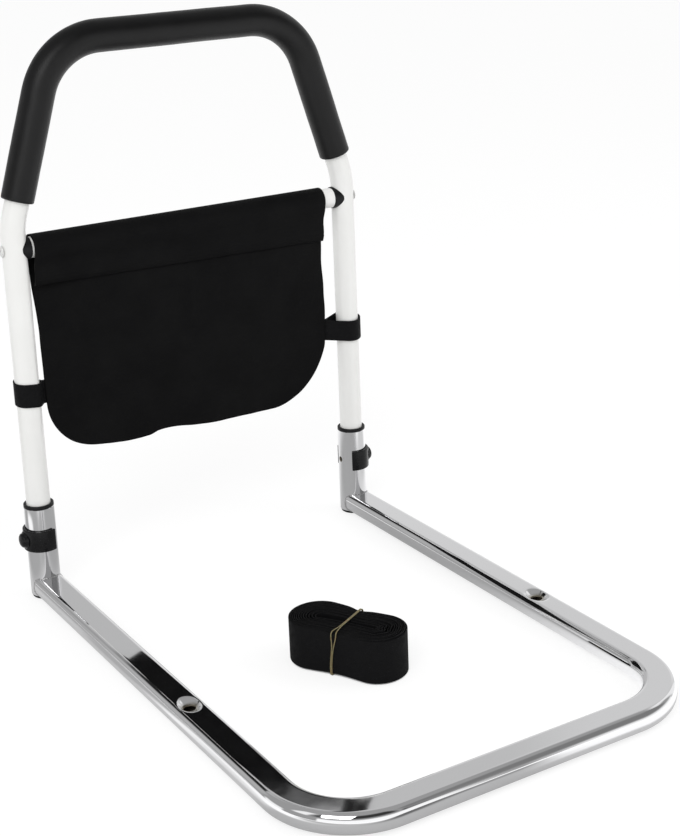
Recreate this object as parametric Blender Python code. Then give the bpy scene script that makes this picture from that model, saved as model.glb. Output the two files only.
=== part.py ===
"""Bed rail: a bent handrail on a U-shaped base that slides under the mattress.

The handrail stands in two sockets and is locked there at one of three heights
by clips with pegs. A cloth pocket hangs on the crossbar. The safety strap stands
beside the rail, wound up and held by a rubber band.

Units are metres and +Z is up. The origin lies on the floor under the middle of
the whole object, +X points to the right upright and -Y to the front bar. Shapes
are drawn from the plane of the two uprights, and an empty carries them all.
"""
import math

import bmesh
import bpy
import numpy as np
from mathutils import Matrix, Vector

# Gaps between pieces
CLEARANCE = 0.0003

# Handrail
RAIL_SPACING = 0.390
RAIL_DIAMETER = 0.0254
RAIL_WALL = 0.0012
TOP_BAR_HEIGHT = 0.585
TOP_CORNER_SPACING = 0.2773
TOP_BEND_RADIUS = 0.071
LOWER_BEND_RISE = 0.0235
LOWER_BEND_RADIUS = 0.100

# Foam grip on the handrail, which starts at a distance above the saddles
GRIP_DIAMETER = 0.034
GRIP_DISTANCE = 0.037

# Height lock: holes in the handrail, one pitch apart, and a peg in each socket
PIN_HEIGHT = 0.0668
PIN_DIAMETER = 0.006
PIN_PITCH = 0.020
PIN_POSITIONS = 3
RAIL_END_MARGIN = 0.010

# Sockets and what fits in them
SOCKET_DIAMETER = 0.032
SOCKET_WALL = 0.0015
SOCKET_TOP = 0.102
COLLAR_THICKNESS = 0.0032
BUSHING_DEPTH = 0.025
FOOT_DIAMETER = 0.030
FOOT_STEM = 0.012
FOOT_WALL = 0.0025

# Base of flat-oval tube
BASE_LIFT = 0.003
ARM_LENGTH = 0.576
BASE_TUBE_WIDTH = 0.034
BASE_TUBE_HEIGHT = 0.022
BASE_TUBE_WALL = 0.0015
BASE_CORNER_RADIUS = 0.070
ARM_SETBACK = 0.008

# Bolt holes in pressed dimples on the arms
BOLT_HOLE_DIAMETER = 0.012
BOLT_HOLE_DISTANCES = {"left": 0.344, "right": 0.350}
DIMPLE_WIDTH = 0.024
DIMPLE_LENGTH = 0.036
DIMPLE_DEPTH = 0.004
DIMPLE_FLOOR_SHARE = 0.4

# Locking clips
CLIP_THICKNESS = 0.003
CLIP_HEIGHT = 0.023
CLIP_HALF_ANGLE = math.radians(122)
KNOB_DIAMETER = 0.0155
KNOB_REACH = 0.0245
KNOB_DOME = 0.003
KNOB_DOME_ANGLE = math.radians(75)
PEG_TIP = 0.008
PEG_CHAMFER = 0.0008

# Crossbar, its saddles and its screws
CROSSBAR_HEIGHT = 0.380
CROSSBAR_DIAMETER = 0.0222
CROSSBAR_WALL = 0.0012
SADDLE_DIAMETER = 0.0242
SADDLE_THICKNESS = 0.0025
SADDLE_WRAP = 0.0055
SCREW_DIAMETER = 0.006
SCREW_LENGTH = 0.042
SCREW_TIP_CHAMFER = 0.0009
SCREW_HEAD_DIAMETER = 0.012
SCREW_HEAD_RIM = 0.0005
SCREW_SHOULDER_DIAMETER = 0.0102
SCREW_SHOULDER_HEIGHT = 0.0012
SCREW_CROWN_DIAMETER = 0.006
SCREW_CROWN_HEIGHT = 0.0016
HEX_KEY = 0.004
HEX_DEPTH = 0.0011
INSERT_LENGTH = 0.020

# Pocket of cloth: a sleeve round the crossbar, a flap and a hanging panel
CLOTH = 0.0014
SLEEVE_LEFT = 0.178
SLEEVE_RIGHT = 0.165
SLEEVE_SLACK = 0.0003
HEM_DROP = 0.0435
HEM_SLOPE = -0.018
SEAM_RISE = 0.010
PANEL_LEFT = 0.1785
PANEL_LEFT_LEAN = 0.020
PANEL_RIGHT = 0.164
PANEL_RIGHT_LEAN = 0.020
PANEL_PLANE = -0.0015
PANEL_DROP = 0.228
PANEL_BOTTOM_SLOPE = -0.0175
PANEL_LEFT_CORNER = 0.050
PANEL_RIGHT_CORNER = 0.055

# Folds of the panel, which fade out towards its sides
FOLD_MARGIN = 0.030
UPRIGHT_FOLD_DEPTH = 0.0013
UPRIGHT_FOLD_X = -0.010
UPRIGHT_FOLD_WIDTH = 0.016
SLANT_FOLD_DEPTH = 0.0015
SLANT_FOLD_X = -0.020
SLANT_FOLD_SHARE = 0.56
SLANT_FOLD_SLOPE = 0.8
SLANT_FOLD_WIDTH = 0.08
WAVE_DEPTH = 0.0020
WAVE_X = -0.030
WAVE_LENGTH = 0.16

# Pouch behind the panel, open at its top
POUCH_INSET = 0.014
POUCH_HEIGHT = 0.166
POUCH_DEPTH = 0.0135
POUCH_EDGE = 0.022

# Straps that hold the pocket's sides to the uprights
STRAP_WIDTH = 0.025
STRAP_THICKNESS = 0.0012
STRAP_HEIGHT = 0.2285
STRAP_TAIL = 0.011
LEFT_STRAP_SLACK = 0.0
RIGHT_STRAP_SLACK = 0.002
LEFT_STRAP_TILT = 0.001
RIGHT_STRAP_TILT = 0.0025

# Safety strap, wound up and stood on its edge
WEBBING_WIDTH = 0.0435
WEBBING_THICKNESS = 0.0012
WINDING_PITCH = 0.00175
WINDING_TURNS = 12
BUNDLE_LENGTH = 0.1245
BUNDLE_WIDTH = 0.064
BUNDLE_X = -0.0140
BUNDLE_DISTANCE = 0.3251
BUNDLE_TURN = math.radians(-62.6)
WAIST_DEPTH = 0.0035
WAIST_LENGTH = 0.030
WINDING_FIRST_STEP = 9

# Rubber band, twice round the bundle's waist
BAND_WIDTH = 0.0012
BAND_THICKNESS = 0.0007
BAND_SPACING = 0.0018
BAND_SPLAY = 0.0040
BAND_SPLAY_LENGTH = 0.012
BAND_CORNER = 0.0008
BAND_RUN = 0.006
BAND_CROSSING = 0.06
BAND_CROSSING_GAP = 0.0010

# Faces round a tube, along its bends and round the wound forms
TUBE_SIDES = 20
PIN_HOLE_SIDES = 12
BOLT_HOLE_SIDES = 16
SADDLE_SIDES = 24
LOWER_BEND_STEPS = 4
TOP_BEND_STEPS = 9
BASE_CORNER_STEPS = 9
OVAL_STEPS = 6
OVAL_FLAT_STEPS = 4
DIMPLE_STEPS = 10
CLIP_STEPS = 20
KNOB_DOME_STEPS = 3
CLOTH_COLUMNS = 20
SLEEVE_STEPS = 12
BETWEEN_ROWS = (0.33, 0.67)
PANEL_ROWS = (1.0, 0.94, 0.80, 0.64, 0.48, 0.34, 0.22, 0.13, 0.06, 0.02, 0.0)
POUCH_ROWS = (0.0, 0.03, 0.08, 0.15, 0.30, 0.50, 0.70, 0.85, 1.0)
STRAP_STEPS = 16
LOOP_END_STEPS = 8
LOOP_SIDE_STEPS = 4
BAND_CORNER_STEPS = 2
SHARP_ANGLE = math.radians(35)

# Values that follow from those above
RAIL_RADIUS = RAIL_DIAMETER / 2
SOCKET_RADIUS = SOCKET_DIAMETER / 2
THROUGH_UPRIGHTS = RAIL_SPACING / 2 - SOCKET_DIAMETER
PIN_HOLE_RADIUS = PIN_DIAMETER / 2 + CLEARANCE
SCREW_HOLE_RADIUS = SCREW_DIAMETER / 2 + CLEARANCE
RAIL_END = PIN_HEIGHT - (PIN_POSITIONS - 1) * PIN_PITCH - RAIL_END_MARGIN
ROUND_SOCKET = SOCKET_RADIUS + CLEARANCE
CLIP_OUTER = ROUND_SOCKET + CLIP_THICKNESS
UPRIGHT_Y = (ARM_LENGTH + BASE_TUBE_WIDTH / 2 - CLIP_OUTER) / 2
BASE_AXIS = BASE_LIFT + BASE_TUBE_HEIGHT / 2
SADDLE_BASE = RAIL_RADIUS + CLEARANCE + SADDLE_THICKNESS
CROSSBAR_HALF = RAIL_SPACING / 2 - SADDLE_BASE - CLEARANCE
LOWER_BEND_HEIGHT = CROSSBAR_HEIGHT + LOWER_BEND_RISE
GRIP_START_HEIGHT = CROSSBAR_HEIGHT + SADDLE_DIAMETER / 2 + GRIP_DISTANCE
HEM_HEIGHT = CROSSBAR_HEIGHT - HEM_DROP
SEAM_HEIGHT = HEM_HEIGHT + SEAM_RISE
PANEL_BOTTOM = CROSSBAR_HEIGHT - PANEL_DROP
PANEL_HEIGHT = SEAM_HEIGHT - PANEL_BOTTOM
WEBBING_LOW = 2 * CLEARANCE + BAND_THICKNESS
LOOP_POINTS = 2 * (LOOP_END_STEPS + LOOP_SIDE_STEPS)
UP = Vector((0, 0, 1))
ALONG_X = Vector((1, 0, 0))
ALONG_Y = Vector((0, 1, 0))
FROM_Z_TO_X = Matrix.Rotation(math.radians(90), 4, "Y")
HALF_TURN = Matrix.Rotation(math.radians(180), 4, "Z")
SIDES = (("left", -1), ("right", 1))


def clear_scene():
    """Remove whatever the scene holds."""
    for item in list(bpy.data.objects):
        bpy.data.objects.remove(item, do_unlink=True)


def material(name, colour, roughness, metallic=0.0):
    """A plain Principled material."""
    made = bpy.data.materials.new(name)
    made.use_nodes = True
    shader = made.node_tree.nodes["Principled BSDF"]
    shader.inputs["Base Color"].default_value = (*colour, 1.0)
    shader.inputs["Roughness"].default_value = roughness
    shader.inputs["Metallic"].default_value = metallic
    return made


def empty(name, parent=None, location=(0, 0, 0)):
    """A carrier that pieces hang on."""
    made = bpy.data.objects.new(name, None)
    made.location = location
    made.parent = parent
    bpy.context.scene.collection.objects.link(made)
    return made


def add_piece(name, bm, parent, finish=None, location=(0, 0, 0)):
    """Make a smooth-shaded object of a bmesh and hang it on its carrier."""
    bmesh.ops.recalc_face_normals(bm, faces=bm.faces)
    mesh = bpy.data.meshes.new(name)
    bm.to_mesh(mesh)
    bm.free()
    mesh.shade_smooth()
    mesh.set_sharp_from_angle(angle=SHARP_ANGLE)
    piece = bpy.data.objects.new(name, mesh)
    piece.parent = parent
    piece.location = location
    if finish:
        mesh.materials.append(finish)
    bpy.context.scene.collection.objects.link(piece)
    return piece


def add_cutter(name, bm, parent, location=(0, 0, 0)):
    """An object that only cuts others, and isn't a piece itself."""
    cutter = add_piece(name, bm, parent, location=location)
    cutter.hide_render = True
    cutter.display_type = "WIRE"
    return cutter


def combine(piece, tool, operation):
    """Cut a piece with a tool, or join the two."""
    modifier = piece.modifiers.new(f"{operation.lower()}_{tool.name}", "BOOLEAN")
    modifier.operation = operation
    modifier.object = tool


def circle(radius, sides=TUBE_SIDES):
    """Points round a circle, the first of them on its first axis."""
    step = 2 * math.pi / sides
    return [(radius * math.cos(step * i), radius * math.sin(step * i)) for i in range(sides)]


def flat_oval(width, height):
    """Two half circles joined by flats, of which the upper one is finely divided."""
    radius = height / 2
    flat = width / 2 - radius
    points = []
    for step in range(OVAL_STEPS + 1):
        angle = -math.pi / 2 + math.pi * step / OVAL_STEPS
        points.append((flat + radius * math.cos(angle), radius * math.sin(angle)))
    for step in range(1, OVAL_FLAT_STEPS):
        points.append((flat - 2 * flat * step / OVAL_FLAT_STEPS, radius))
    for step in range(OVAL_STEPS + 1):
        angle = math.pi / 2 + math.pi * step / OVAL_STEPS
        points.append((-flat + radius * math.cos(angle), radius * math.sin(angle)))
    return points


def loft(bm, rings, closed=False):
    """Skin a row of rings, and cap its ends unless the row closes on itself."""
    loops = [[bm.verts.new(point) for point in ring] for ring in rings]
    following = loops[1:] + loops[:1] if closed else loops[1:]
    for low, high in zip(loops, following):
        for i in range(len(low)):
            j = (i + 1) % len(low)
            bm.faces.new((low[i], low[j], high[j], high[i]))
    if not closed:
        bm.faces.new(loops[0])
        bm.faces.new(loops[-1])


def turned(profile, hollow, sides=TUBE_SIDES):
    """Turn a profile of (radius, height) points round Z, hollow or capped at its ends."""
    bm = bmesh.new()
    rings = [[(x, y, height) for x, y in circle(radius, sides)] for radius, height in profile]
    loft(bm, rings, closed=hollow)
    return bm


def turned_along_x(profile, hollow, sides=TUBE_SIDES):
    """The same, turned round X, with heights measured along X."""
    bm = turned(profile, hollow, sides)
    bm.transform(FROM_Z_TO_X)
    return bm


def sleeve_profile(outer, inner, low, high):
    """The profile of a plain ring or tube."""
    return [(outer, low), (outer, high), (inner, high), (inner, low)]


def rounded_path(corners, radii, steps):
    """Places and directions along straight runs that arcs join."""
    path = [(corners[0], (corners[1] - corners[0]).normalized())]
    for before, corner, after, radius, count in zip(corners, corners[1:], corners[2:], radii, steps):
        incoming = (corner - before).normalized()
        outgoing = (after - corner).normalized()
        turn = incoming.angle(outgoing)
        axis = incoming.cross(outgoing).normalized()
        start = corner - incoming * radius * math.tan(turn / 2)
        centre = start + axis.cross(incoming) * radius
        for step in range(count + 1):
            spin = Matrix.Rotation(turn * step / count, 3, axis)
            path.append((centre + spin @ (start - centre), spin @ incoming))
    path.append((corners[-1], (corners[-1] - corners[-2]).normalized()))
    return path


def sections(profile, path, normal):
    """Stand a profile on each place of a flat path, whose plane has this normal."""
    rings = []
    for place, direction in path:
        side = normal.cross(direction).normalized()
        rings.append([place + side * a + normal * b for a, b in profile])
    return rings


def swept_tube(outer, inner, path, normal):
    """A tube along a flat path, open at both ends."""
    bm = bmesh.new()
    rings = sections(outer, path, normal) + sections(inner, path, normal)[::-1]
    loft(bm, rings, closed=True)
    return bm


def rail_path(start_height):
    """The handrail's centreline, from a height on the left to that on the right."""
    foot = RAIL_SPACING / 2
    shoulder = TOP_CORNER_SPACING / 2
    bend = Vector((-foot, 0, LOWER_BEND_HEIGHT))
    top = Vector((-shoulder, 0, TOP_BAR_HEIGHT))
    if start_height < LOWER_BEND_HEIGHT:
        left = [Vector((-foot, 0, start_height)), bend, top]
        radii = [LOWER_BEND_RADIUS, TOP_BEND_RADIUS]
        steps = [LOWER_BEND_STEPS, TOP_BEND_STEPS]
    else:
        share = (start_height - bend.z) / (top.z - bend.z)
        left = [bend.lerp(top, share), top]
        radii = [TOP_BEND_RADIUS]
        steps = [TOP_BEND_STEPS]
    right = [Vector((-corner.x, 0, corner.z)) for corner in left[::-1]]
    return rounded_path(left + right, radii + radii[::-1], steps + steps[::-1])


def hole_cutter(name, radius, height, start, parent):
    """Two rods along X that cut holes in the uprights, from a distance off the middle outwards."""
    end = RAIL_SPACING / 2 + SOCKET_DIAMETER
    bm = bmesh.new()
    for low, high in ((-end, -start), (start, end)):
        rings = [[(x, y, z) for y, z in circle(radius, PIN_HOLE_SIDES)] for x in (low, high)]
        loft(bm, rings)
    return add_cutter(name, bm, parent, (0, 0, height))


def make_base_frame(parent, finish):
    """The U of flat-oval tube, coped round the sockets, with its two bolt holes."""
    half = RAIL_SPACING / 2
    corners = [
        Vector((-half, -ARM_SETBACK, BASE_AXIS)),
        Vector((-half, -ARM_LENGTH, BASE_AXIS)),
        Vector((half, -ARM_LENGTH, BASE_AXIS)),
        Vector((half, -ARM_SETBACK, BASE_AXIS)),
    ]
    path = rounded_path(corners, [BASE_CORNER_RADIUS] * 2, [BASE_CORNER_STEPS] * 2)
    path = with_dimple_stations(path)
    outer = flat_oval(BASE_TUBE_WIDTH, BASE_TUBE_HEIGHT)
    inner = flat_oval(BASE_TUBE_WIDTH - 2 * BASE_TUBE_WALL, BASE_TUBE_HEIGHT - 2 * BASE_TUBE_WALL)
    bm = swept_tube(outer, inner, path, UP)
    press_dimples(bm)
    frame = add_piece("base_frame", bm, parent, finish)
    bore = BOLT_HOLE_DIAMETER / 2
    for side, sign in SIDES:
        cope = turned([(ROUND_SOCKET, -BASE_LIFT), (ROUND_SOCKET, SOCKET_TOP)], False)
        combine(frame, add_cutter(f"cope_{side}", cope, parent, (sign * half, 0, 0)), "DIFFERENCE")
        bolt = turned([(bore, 0), (bore, SOCKET_TOP)], False, BOLT_HOLE_SIDES)
        place = (sign * half, -BOLT_HOLE_DISTANCES[side], 0)
        combine(frame, add_cutter(f"bolt_hole_{side}", bolt, parent, place), "DIFFERENCE")


def with_dimple_stations(path):
    """Add places along the arms where the dimples need them."""
    marks = []
    for distance in BOLT_HOLE_DISTANCES.values():
        for step in range(DIMPLE_STEPS + 1):
            marks.append(-distance + DIMPLE_LENGTH * (step / DIMPLE_STEPS - 0.5))
    result = [path[0]]
    for (place, direction), (following, next_direction) in zip(path, path[1:]):
        low, high = sorted((place.y, following.y))
        inside = [mark for mark in marks if low < mark < high]
        for mark in sorted(inside, key=lambda value: abs(value - place.y)):
            share = (mark - place.y) / (following.y - place.y)
            result.append((place.lerp(following, share), direction))
        result.append((following, next_direction))
    return result


def press_dimples(bm):
    """Lower the upper wall round each bolt hole, deepest at the hole."""
    for vertex in bm.verts:
        if vertex.co.z > BASE_AXIS:
            distance = BOLT_HOLE_DISTANCES["left" if vertex.co.x < 0 else "right"]
            across = (abs(vertex.co.x) - RAIL_SPACING / 2) / (DIMPLE_WIDTH / 2)
            along = (vertex.co.y + distance) / (DIMPLE_LENGTH / 2)
            vertex.co.z -= DIMPLE_DEPTH * rise(1 - math.hypot(across, along), 1 - DIMPLE_FLOOR_SHARE)


def make_sockets(parent, chrome, plastic):
    """Upright tubes that hold the handrail, with their foot plugs and bushings."""
    bore = SOCKET_RADIUS - SOCKET_WALL
    fitted = bore - CLEARANCE
    guide = RAIL_RADIUS + CLEARANCE
    pin_holes = hole_cutter("socket_pin_holes", PIN_HOLE_RADIUS, PIN_HEIGHT, THROUGH_UPRIGHTS, parent)
    collar_low = SOCKET_TOP + CLEARANCE
    collar_high = collar_low + COLLAR_THICKNESS
    edge = COLLAR_THICKNESS / 4
    foot = FOOT_DIAMETER / 2
    foot_top = BASE_LIFT - CLEARANCE
    stem_top = BASE_LIFT + FOOT_STEM
    for side, sign in SIDES:
        place = (sign * RAIL_SPACING / 2, 0, 0)
        tube = turned(sleeve_profile(SOCKET_RADIUS, bore, BASE_LIFT, SOCKET_TOP), True)
        socket = add_piece(f"{side}_socket", tube, parent, chrome, place)
        combine(socket, pin_holes, "DIFFERENCE")
        plug = turned(
            [
                (fitted - FOOT_WALL, BASE_LIFT),
                (fitted - FOOT_WALL, stem_top),
                (fitted - CLEARANCE, stem_top),
                (fitted, stem_top - FOOT_WALL),
                (fitted, foot_top),
                (foot, foot_top),
                (foot, edge),
                (foot - edge, 0),
            ],
            False,
        )
        add_piece(f"{side}_foot_plug", plug, parent, plastic, place)
        bushing = turned(
            [
                (fitted, SOCKET_TOP - BUSHING_DEPTH),
                (fitted, collar_low),
                (SOCKET_RADIUS, collar_low),
                (SOCKET_RADIUS, collar_high - edge),
                (SOCKET_RADIUS - edge, collar_high),
                (guide, collar_high),
                (guide, SOCKET_TOP - BUSHING_DEPTH),
            ],
            True,
        )
        add_piece(f"{side}_bushing", bushing, parent, plastic, place)


def make_handrail(parent, paint, foam):
    """The bent tube with its holes, and the foam grip on it."""
    inner = circle(RAIL_RADIUS - RAIL_WALL)
    bm = swept_tube(circle(RAIL_RADIUS), inner, rail_path(RAIL_END), ALONG_Y)
    rail = add_piece("upper_rail", bm, parent, paint)
    for position in range(PIN_POSITIONS):
        height = PIN_HEIGHT - position * PIN_PITCH
        cutter = hole_cutter(f"rail_pin_holes_{position}", PIN_HOLE_RADIUS, height, RAIL_SPACING / 2, parent)
        combine(rail, cutter, "DIFFERENCE")
    cutter = hole_cutter("rail_screw_holes", SCREW_HOLE_RADIUS, CROSSBAR_HEIGHT, THROUGH_UPRIGHTS, parent)
    combine(rail, cutter, "DIFFERENCE")
    bore = circle(RAIL_RADIUS + CLEARANCE)
    grip_path = rail_path(GRIP_START_HEIGHT)
    add_piece("foam_grip", swept_tube(circle(GRIP_DIAMETER / 2), bore, grip_path, ALONG_Y), parent, foam)


def make_crossbar(parent, paint, plastic, zinc):
    """The bar between the uprights, with the saddles, screws and inserts of its ends."""
    bar = CROSSBAR_DIAMETER / 2
    bore = bar - CROSSBAR_WALL
    bm = turned_along_x(sleeve_profile(bar, bore, -CROSSBAR_HALF, CROSSBAR_HALF), True)
    add_piece("crossbar", bm, parent, paint, (0, 0, CROSSBAR_HEIGHT))
    for side, sign in SIDES:
        own = [station for station in rail_path(RAIL_END) if station[0].x * sign > 0]
        room = bmesh.new()
        loft(room, sections(circle(RAIL_RADIUS + CLEARANCE), own, ALONG_Y))
        room_cutter = add_cutter(f"{side}_rail_room", room, parent)
        face = RAIL_SPACING / 2 - SADDLE_BASE
        wing = RAIL_SPACING / 2 - SADDLE_WRAP
        rim = SADDLE_DIAMETER / 2
        saddle = turned_along_x([(rim, face), (rim, wing)], False, SADDLE_SIDES)
        turn_for(saddle, sign)
        cap = add_piece(f"{side}_saddle_cap", saddle, parent, plastic, (0, 0, CROSSBAR_HEIGHT))
        combine(cap, room_cutter, "DIFFERENCE")
        combine(cap, bpy.data.objects["rail_screw_holes"], "DIFFERENCE")
        make_screw(side, sign, parent, zinc)
        low = CROSSBAR_HALF - INSERT_LENGTH
        insert = sleeve_profile(bore - CLEARANCE, SCREW_HOLE_RADIUS, low, CROSSBAR_HALF)
        nut = turned_along_x(insert, True)
        turn_for(nut, sign)
        add_piece(f"{side}_threaded_insert", nut, parent, plastic, (0, 0, CROSSBAR_HEIGHT))


def turn_for(bm, sign):
    """Turn a shape made for the right side round to the left one."""
    if sign < 0:
        bm.transform(HALF_TURN)


def make_screw(side, sign, parent, finish):
    """A button-head screw from outside the upright into the crossbar's end."""
    seat = RAIL_SPACING / 2 + RAIL_RADIUS + CLEARANCE
    tip = seat - SCREW_LENGTH
    crown = seat + SCREW_CROWN_HEIGHT
    shank = SCREW_DIAMETER / 2
    head = SCREW_HEAD_DIAMETER / 2
    bm = turned_along_x(
        [
            (shank - SCREW_TIP_CHAMFER, tip),
            (shank, tip + SCREW_TIP_CHAMFER),
            (shank, seat),
            (head, seat),
            (head, seat + SCREW_HEAD_RIM),
            (SCREW_SHOULDER_DIAMETER / 2, seat + SCREW_SHOULDER_HEIGHT),
            (SCREW_CROWN_DIAMETER / 2, crown),
        ],
        False,
    )
    turn_for(bm, sign)
    place = (0, 0, CROSSBAR_HEIGHT)
    screw = add_piece(f"{side}_crossbar_screw", bm, parent, finish, place)
    corner = HEX_KEY / math.sqrt(3)
    socket = turned_along_x([(corner, crown - HEX_DEPTH), (corner, crown + HEX_DEPTH)], False, 6)
    turn_for(socket, sign)
    combine(screw, add_cutter(f"{side}_hex_socket", socket, parent, place), "DIFFERENCE")


def make_clip(side, sign, parent, finish):
    """A spring clip in one moulding: a C round the socket, with its knob and peg."""
    band = bmesh.new()
    rings = []
    for step in range(CLIP_STEPS + 1):
        angle = CLIP_HALF_ANGLE * (2 * step / CLIP_STEPS - 1)
        away = Vector((math.cos(angle), math.sin(angle), 0))
        low = -UP * CLIP_HEIGHT / 2
        high = UP * CLIP_HEIGHT / 2
        inner = away * ROUND_SOCKET
        outer = away * CLIP_OUTER
        rings.append([inner + low, outer + low, outer + high, inner + high])
    loft(band, rings)
    turn_for(band, sign)
    place = (sign * RAIL_SPACING / 2, 0, PIN_HEIGHT)
    clip = add_piece(f"{side}_locking_clip", band, parent, finish, place)
    peg = PIN_DIAMETER / 2
    knob = KNOB_DIAMETER / 2
    root = ROUND_SOCKET + CLIP_THICKNESS / 2
    shoulder = KNOB_REACH - KNOB_DOME
    profile = [(peg - PEG_CHAMFER, PEG_TIP), (peg, PEG_TIP + PEG_CHAMFER), (peg, root), (knob, root)]
    for step in range(KNOB_DOME_STEPS + 1):
        angle = KNOB_DOME_ANGLE * step / KNOB_DOME_STEPS
        profile.append((knob * math.cos(angle), shoulder + KNOB_DOME * math.sin(angle)))
    stud = turned_along_x(profile, False)
    turn_for(stud, sign)
    combine(clip, add_cutter(f"{side}_stud", stud, parent, place), "UNION")


def hem_height(x):
    """The lower edge of the flap."""
    return HEM_HEIGHT + HEM_SLOPE * x


def panel_ends(share):
    """The panel's left and right ends at a share of the way from its bottom to its seam."""
    height = PANEL_HEIGHT * share
    below_seam = PANEL_HEIGHT - height
    left = -PANEL_LEFT + below_seam * PANEL_LEFT_LEAN + corner_inset(height, PANEL_LEFT_CORNER)
    right = PANEL_RIGHT - below_seam * PANEL_RIGHT_LEAN - corner_inset(height, PANEL_RIGHT_CORNER)
    return left, right


def corner_inset(height, radius):
    """How far a rounded lower corner draws an edge in at a height above the bottom."""
    if height >= radius:
        return 0.0
    return radius - math.sqrt(radius**2 - (radius - height) ** 2)


def bump(distance, width):
    """A smooth swell, 1 at its middle."""
    return math.exp(-((distance / width) ** 2))


def fold(x, share):
    """The cloth's main folds: an upright one, a slanting one and a wavy lower edge."""
    left, right = panel_ends(share)
    calm = rise(min(x - left, right - x) - FOLD_MARGIN, FOLD_MARGIN)
    upright = bump(x - UPRIGHT_FOLD_X, UPRIGHT_FOLD_WIDTH) * math.sin(math.pi * share)
    slant_share = SLANT_FOLD_SHARE + SLANT_FOLD_SLOPE * (x - SLANT_FOLD_X)
    slant = bump(share - slant_share, SLANT_FOLD_WIDTH)
    waves = math.sin(2 * math.pi * (x - WAVE_X) / WAVE_LENGTH) * (1 - share) ** 2
    return calm * (UPRIGHT_FOLD_DEPTH * upright - SLANT_FOLD_DEPTH * slant + WAVE_DEPTH * waves)


def rise(distance, length):
    """Grow smoothly from 0 at an edge to 1 at a length from it."""
    share = min(1.0, max(0.0, distance / length))
    return share * share * (3 - 2 * share)


def panel_point(across, share):
    """A point of the hanging panel, by its shares of the width and of the height."""
    left, right = panel_ends(share)
    x = left + (right - left) * across
    bottom = PANEL_BOTTOM + PANEL_BOTTOM_SLOPE * x
    top = hem_height(x) + SEAM_RISE
    return Vector((x, PANEL_PLANE + fold(x, share), bottom + (top - bottom) * share))


def sheet(rows):
    """A grid of cloth through rows of points."""
    bm = bmesh.new()
    grid = [[bm.verts.new(point) for point in row] for row in rows]
    for low, high in zip(grid, grid[1:]):
        for i in range(len(low) - 1):
            bm.faces.new((low[i], low[i + 1], high[i + 1], high[i]))
    return bm


def thicken(piece, thickness):
    """Give a sheet its thickness, half to each side."""
    modifier = piece.modifiers.new("thickness", "SOLIDIFY")
    modifier.thickness = thickness
    modifier.offset = 0.0


def make_pocket_panel(parent, finish):
    """One sheet: the flap's hem, up and over the crossbar, down behind it and on to the bottom."""
    loop = CROSSBAR_DIAMETER / 2 + CLEARANCE + SLEEVE_SLACK + CLOTH / 2
    flap_plane = PANEL_PLANE - CLOTH - CLEARANCE
    front = tangent_angle(Vector((CROSSBAR_HEIGHT - HEM_HEIGHT, flap_plane)), loop)
    back = 2 * math.pi + tangent_angle(Vector((CROSSBAR_HEIGHT - SEAM_HEIGHT, -PANEL_PLANE)), loop)
    columns = [step / CLOTH_COLUMNS for step in range(CLOTH_COLUMNS + 1)]
    sleeve = [SLEEVE_RIGHT * across - SLEEVE_LEFT * (1 - across) for across in columns]
    turns = [front + (-back - front) * step / SLEEVE_STEPS for step in range(SLEEVE_STEPS + 1)]
    over = [(loop * math.sin(turn), CROSSBAR_HEIGHT - loop * math.cos(turn)) for turn in turns]
    rows = []
    y, z = over[0]
    hems = [Vector((x, flap_plane, hem_height(x))) for x in sleeve]
    rows.append(hems)
    for share in BETWEEN_ROWS:
        rows.append([hem.lerp(Vector((hem.x, y, z)), share) for hem in hems])
    for y, z in over:
        rows.append([Vector((x, y, z)) for x in sleeve])
    tops = [panel_point(across, 1.0) for across in columns]
    for share in BETWEEN_ROWS:
        rows.append([Vector((x, y, z)).lerp(top, share) for x, top in zip(sleeve, tops)])
    for share in PANEL_ROWS:
        rows.append([panel_point(across, share) for across in columns])
    thicken(add_piece("pocket_panel", sheet(rows), parent, finish), CLOTH)


def make_pocket_pouch(parent, finish):
    """The bellied sheet behind the panel, seamed at its sides and bottom and open above."""
    top = POUCH_HEIGHT / PANEL_HEIGHT
    bottom = POUCH_INSET / PANEL_HEIGHT
    rows = []
    for level in POUCH_ROWS:
        share = bottom + (top - bottom) * level
        left, right = panel_ends(share)
        inset = POUCH_INSET / (right - left)
        row = []
        for step in range(CLOTH_COLUMNS + 1):
            across = inset + (1 - 2 * inset) * step / CLOTH_COLUMNS
            side = min(across - inset, 1 - inset - across) * (right - left)
            above = (share - bottom) * PANEL_HEIGHT
            belly = POUCH_DEPTH * rise(side, POUCH_EDGE) * rise(above, POUCH_EDGE)
            row.append(panel_point(across, share) + ALONG_Y * (CLOTH + CLEARANCE + belly))
        rows.append(row)
    thicken(add_piece("pocket_pouch", sheet(rows), parent, finish), CLOTH)


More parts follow.
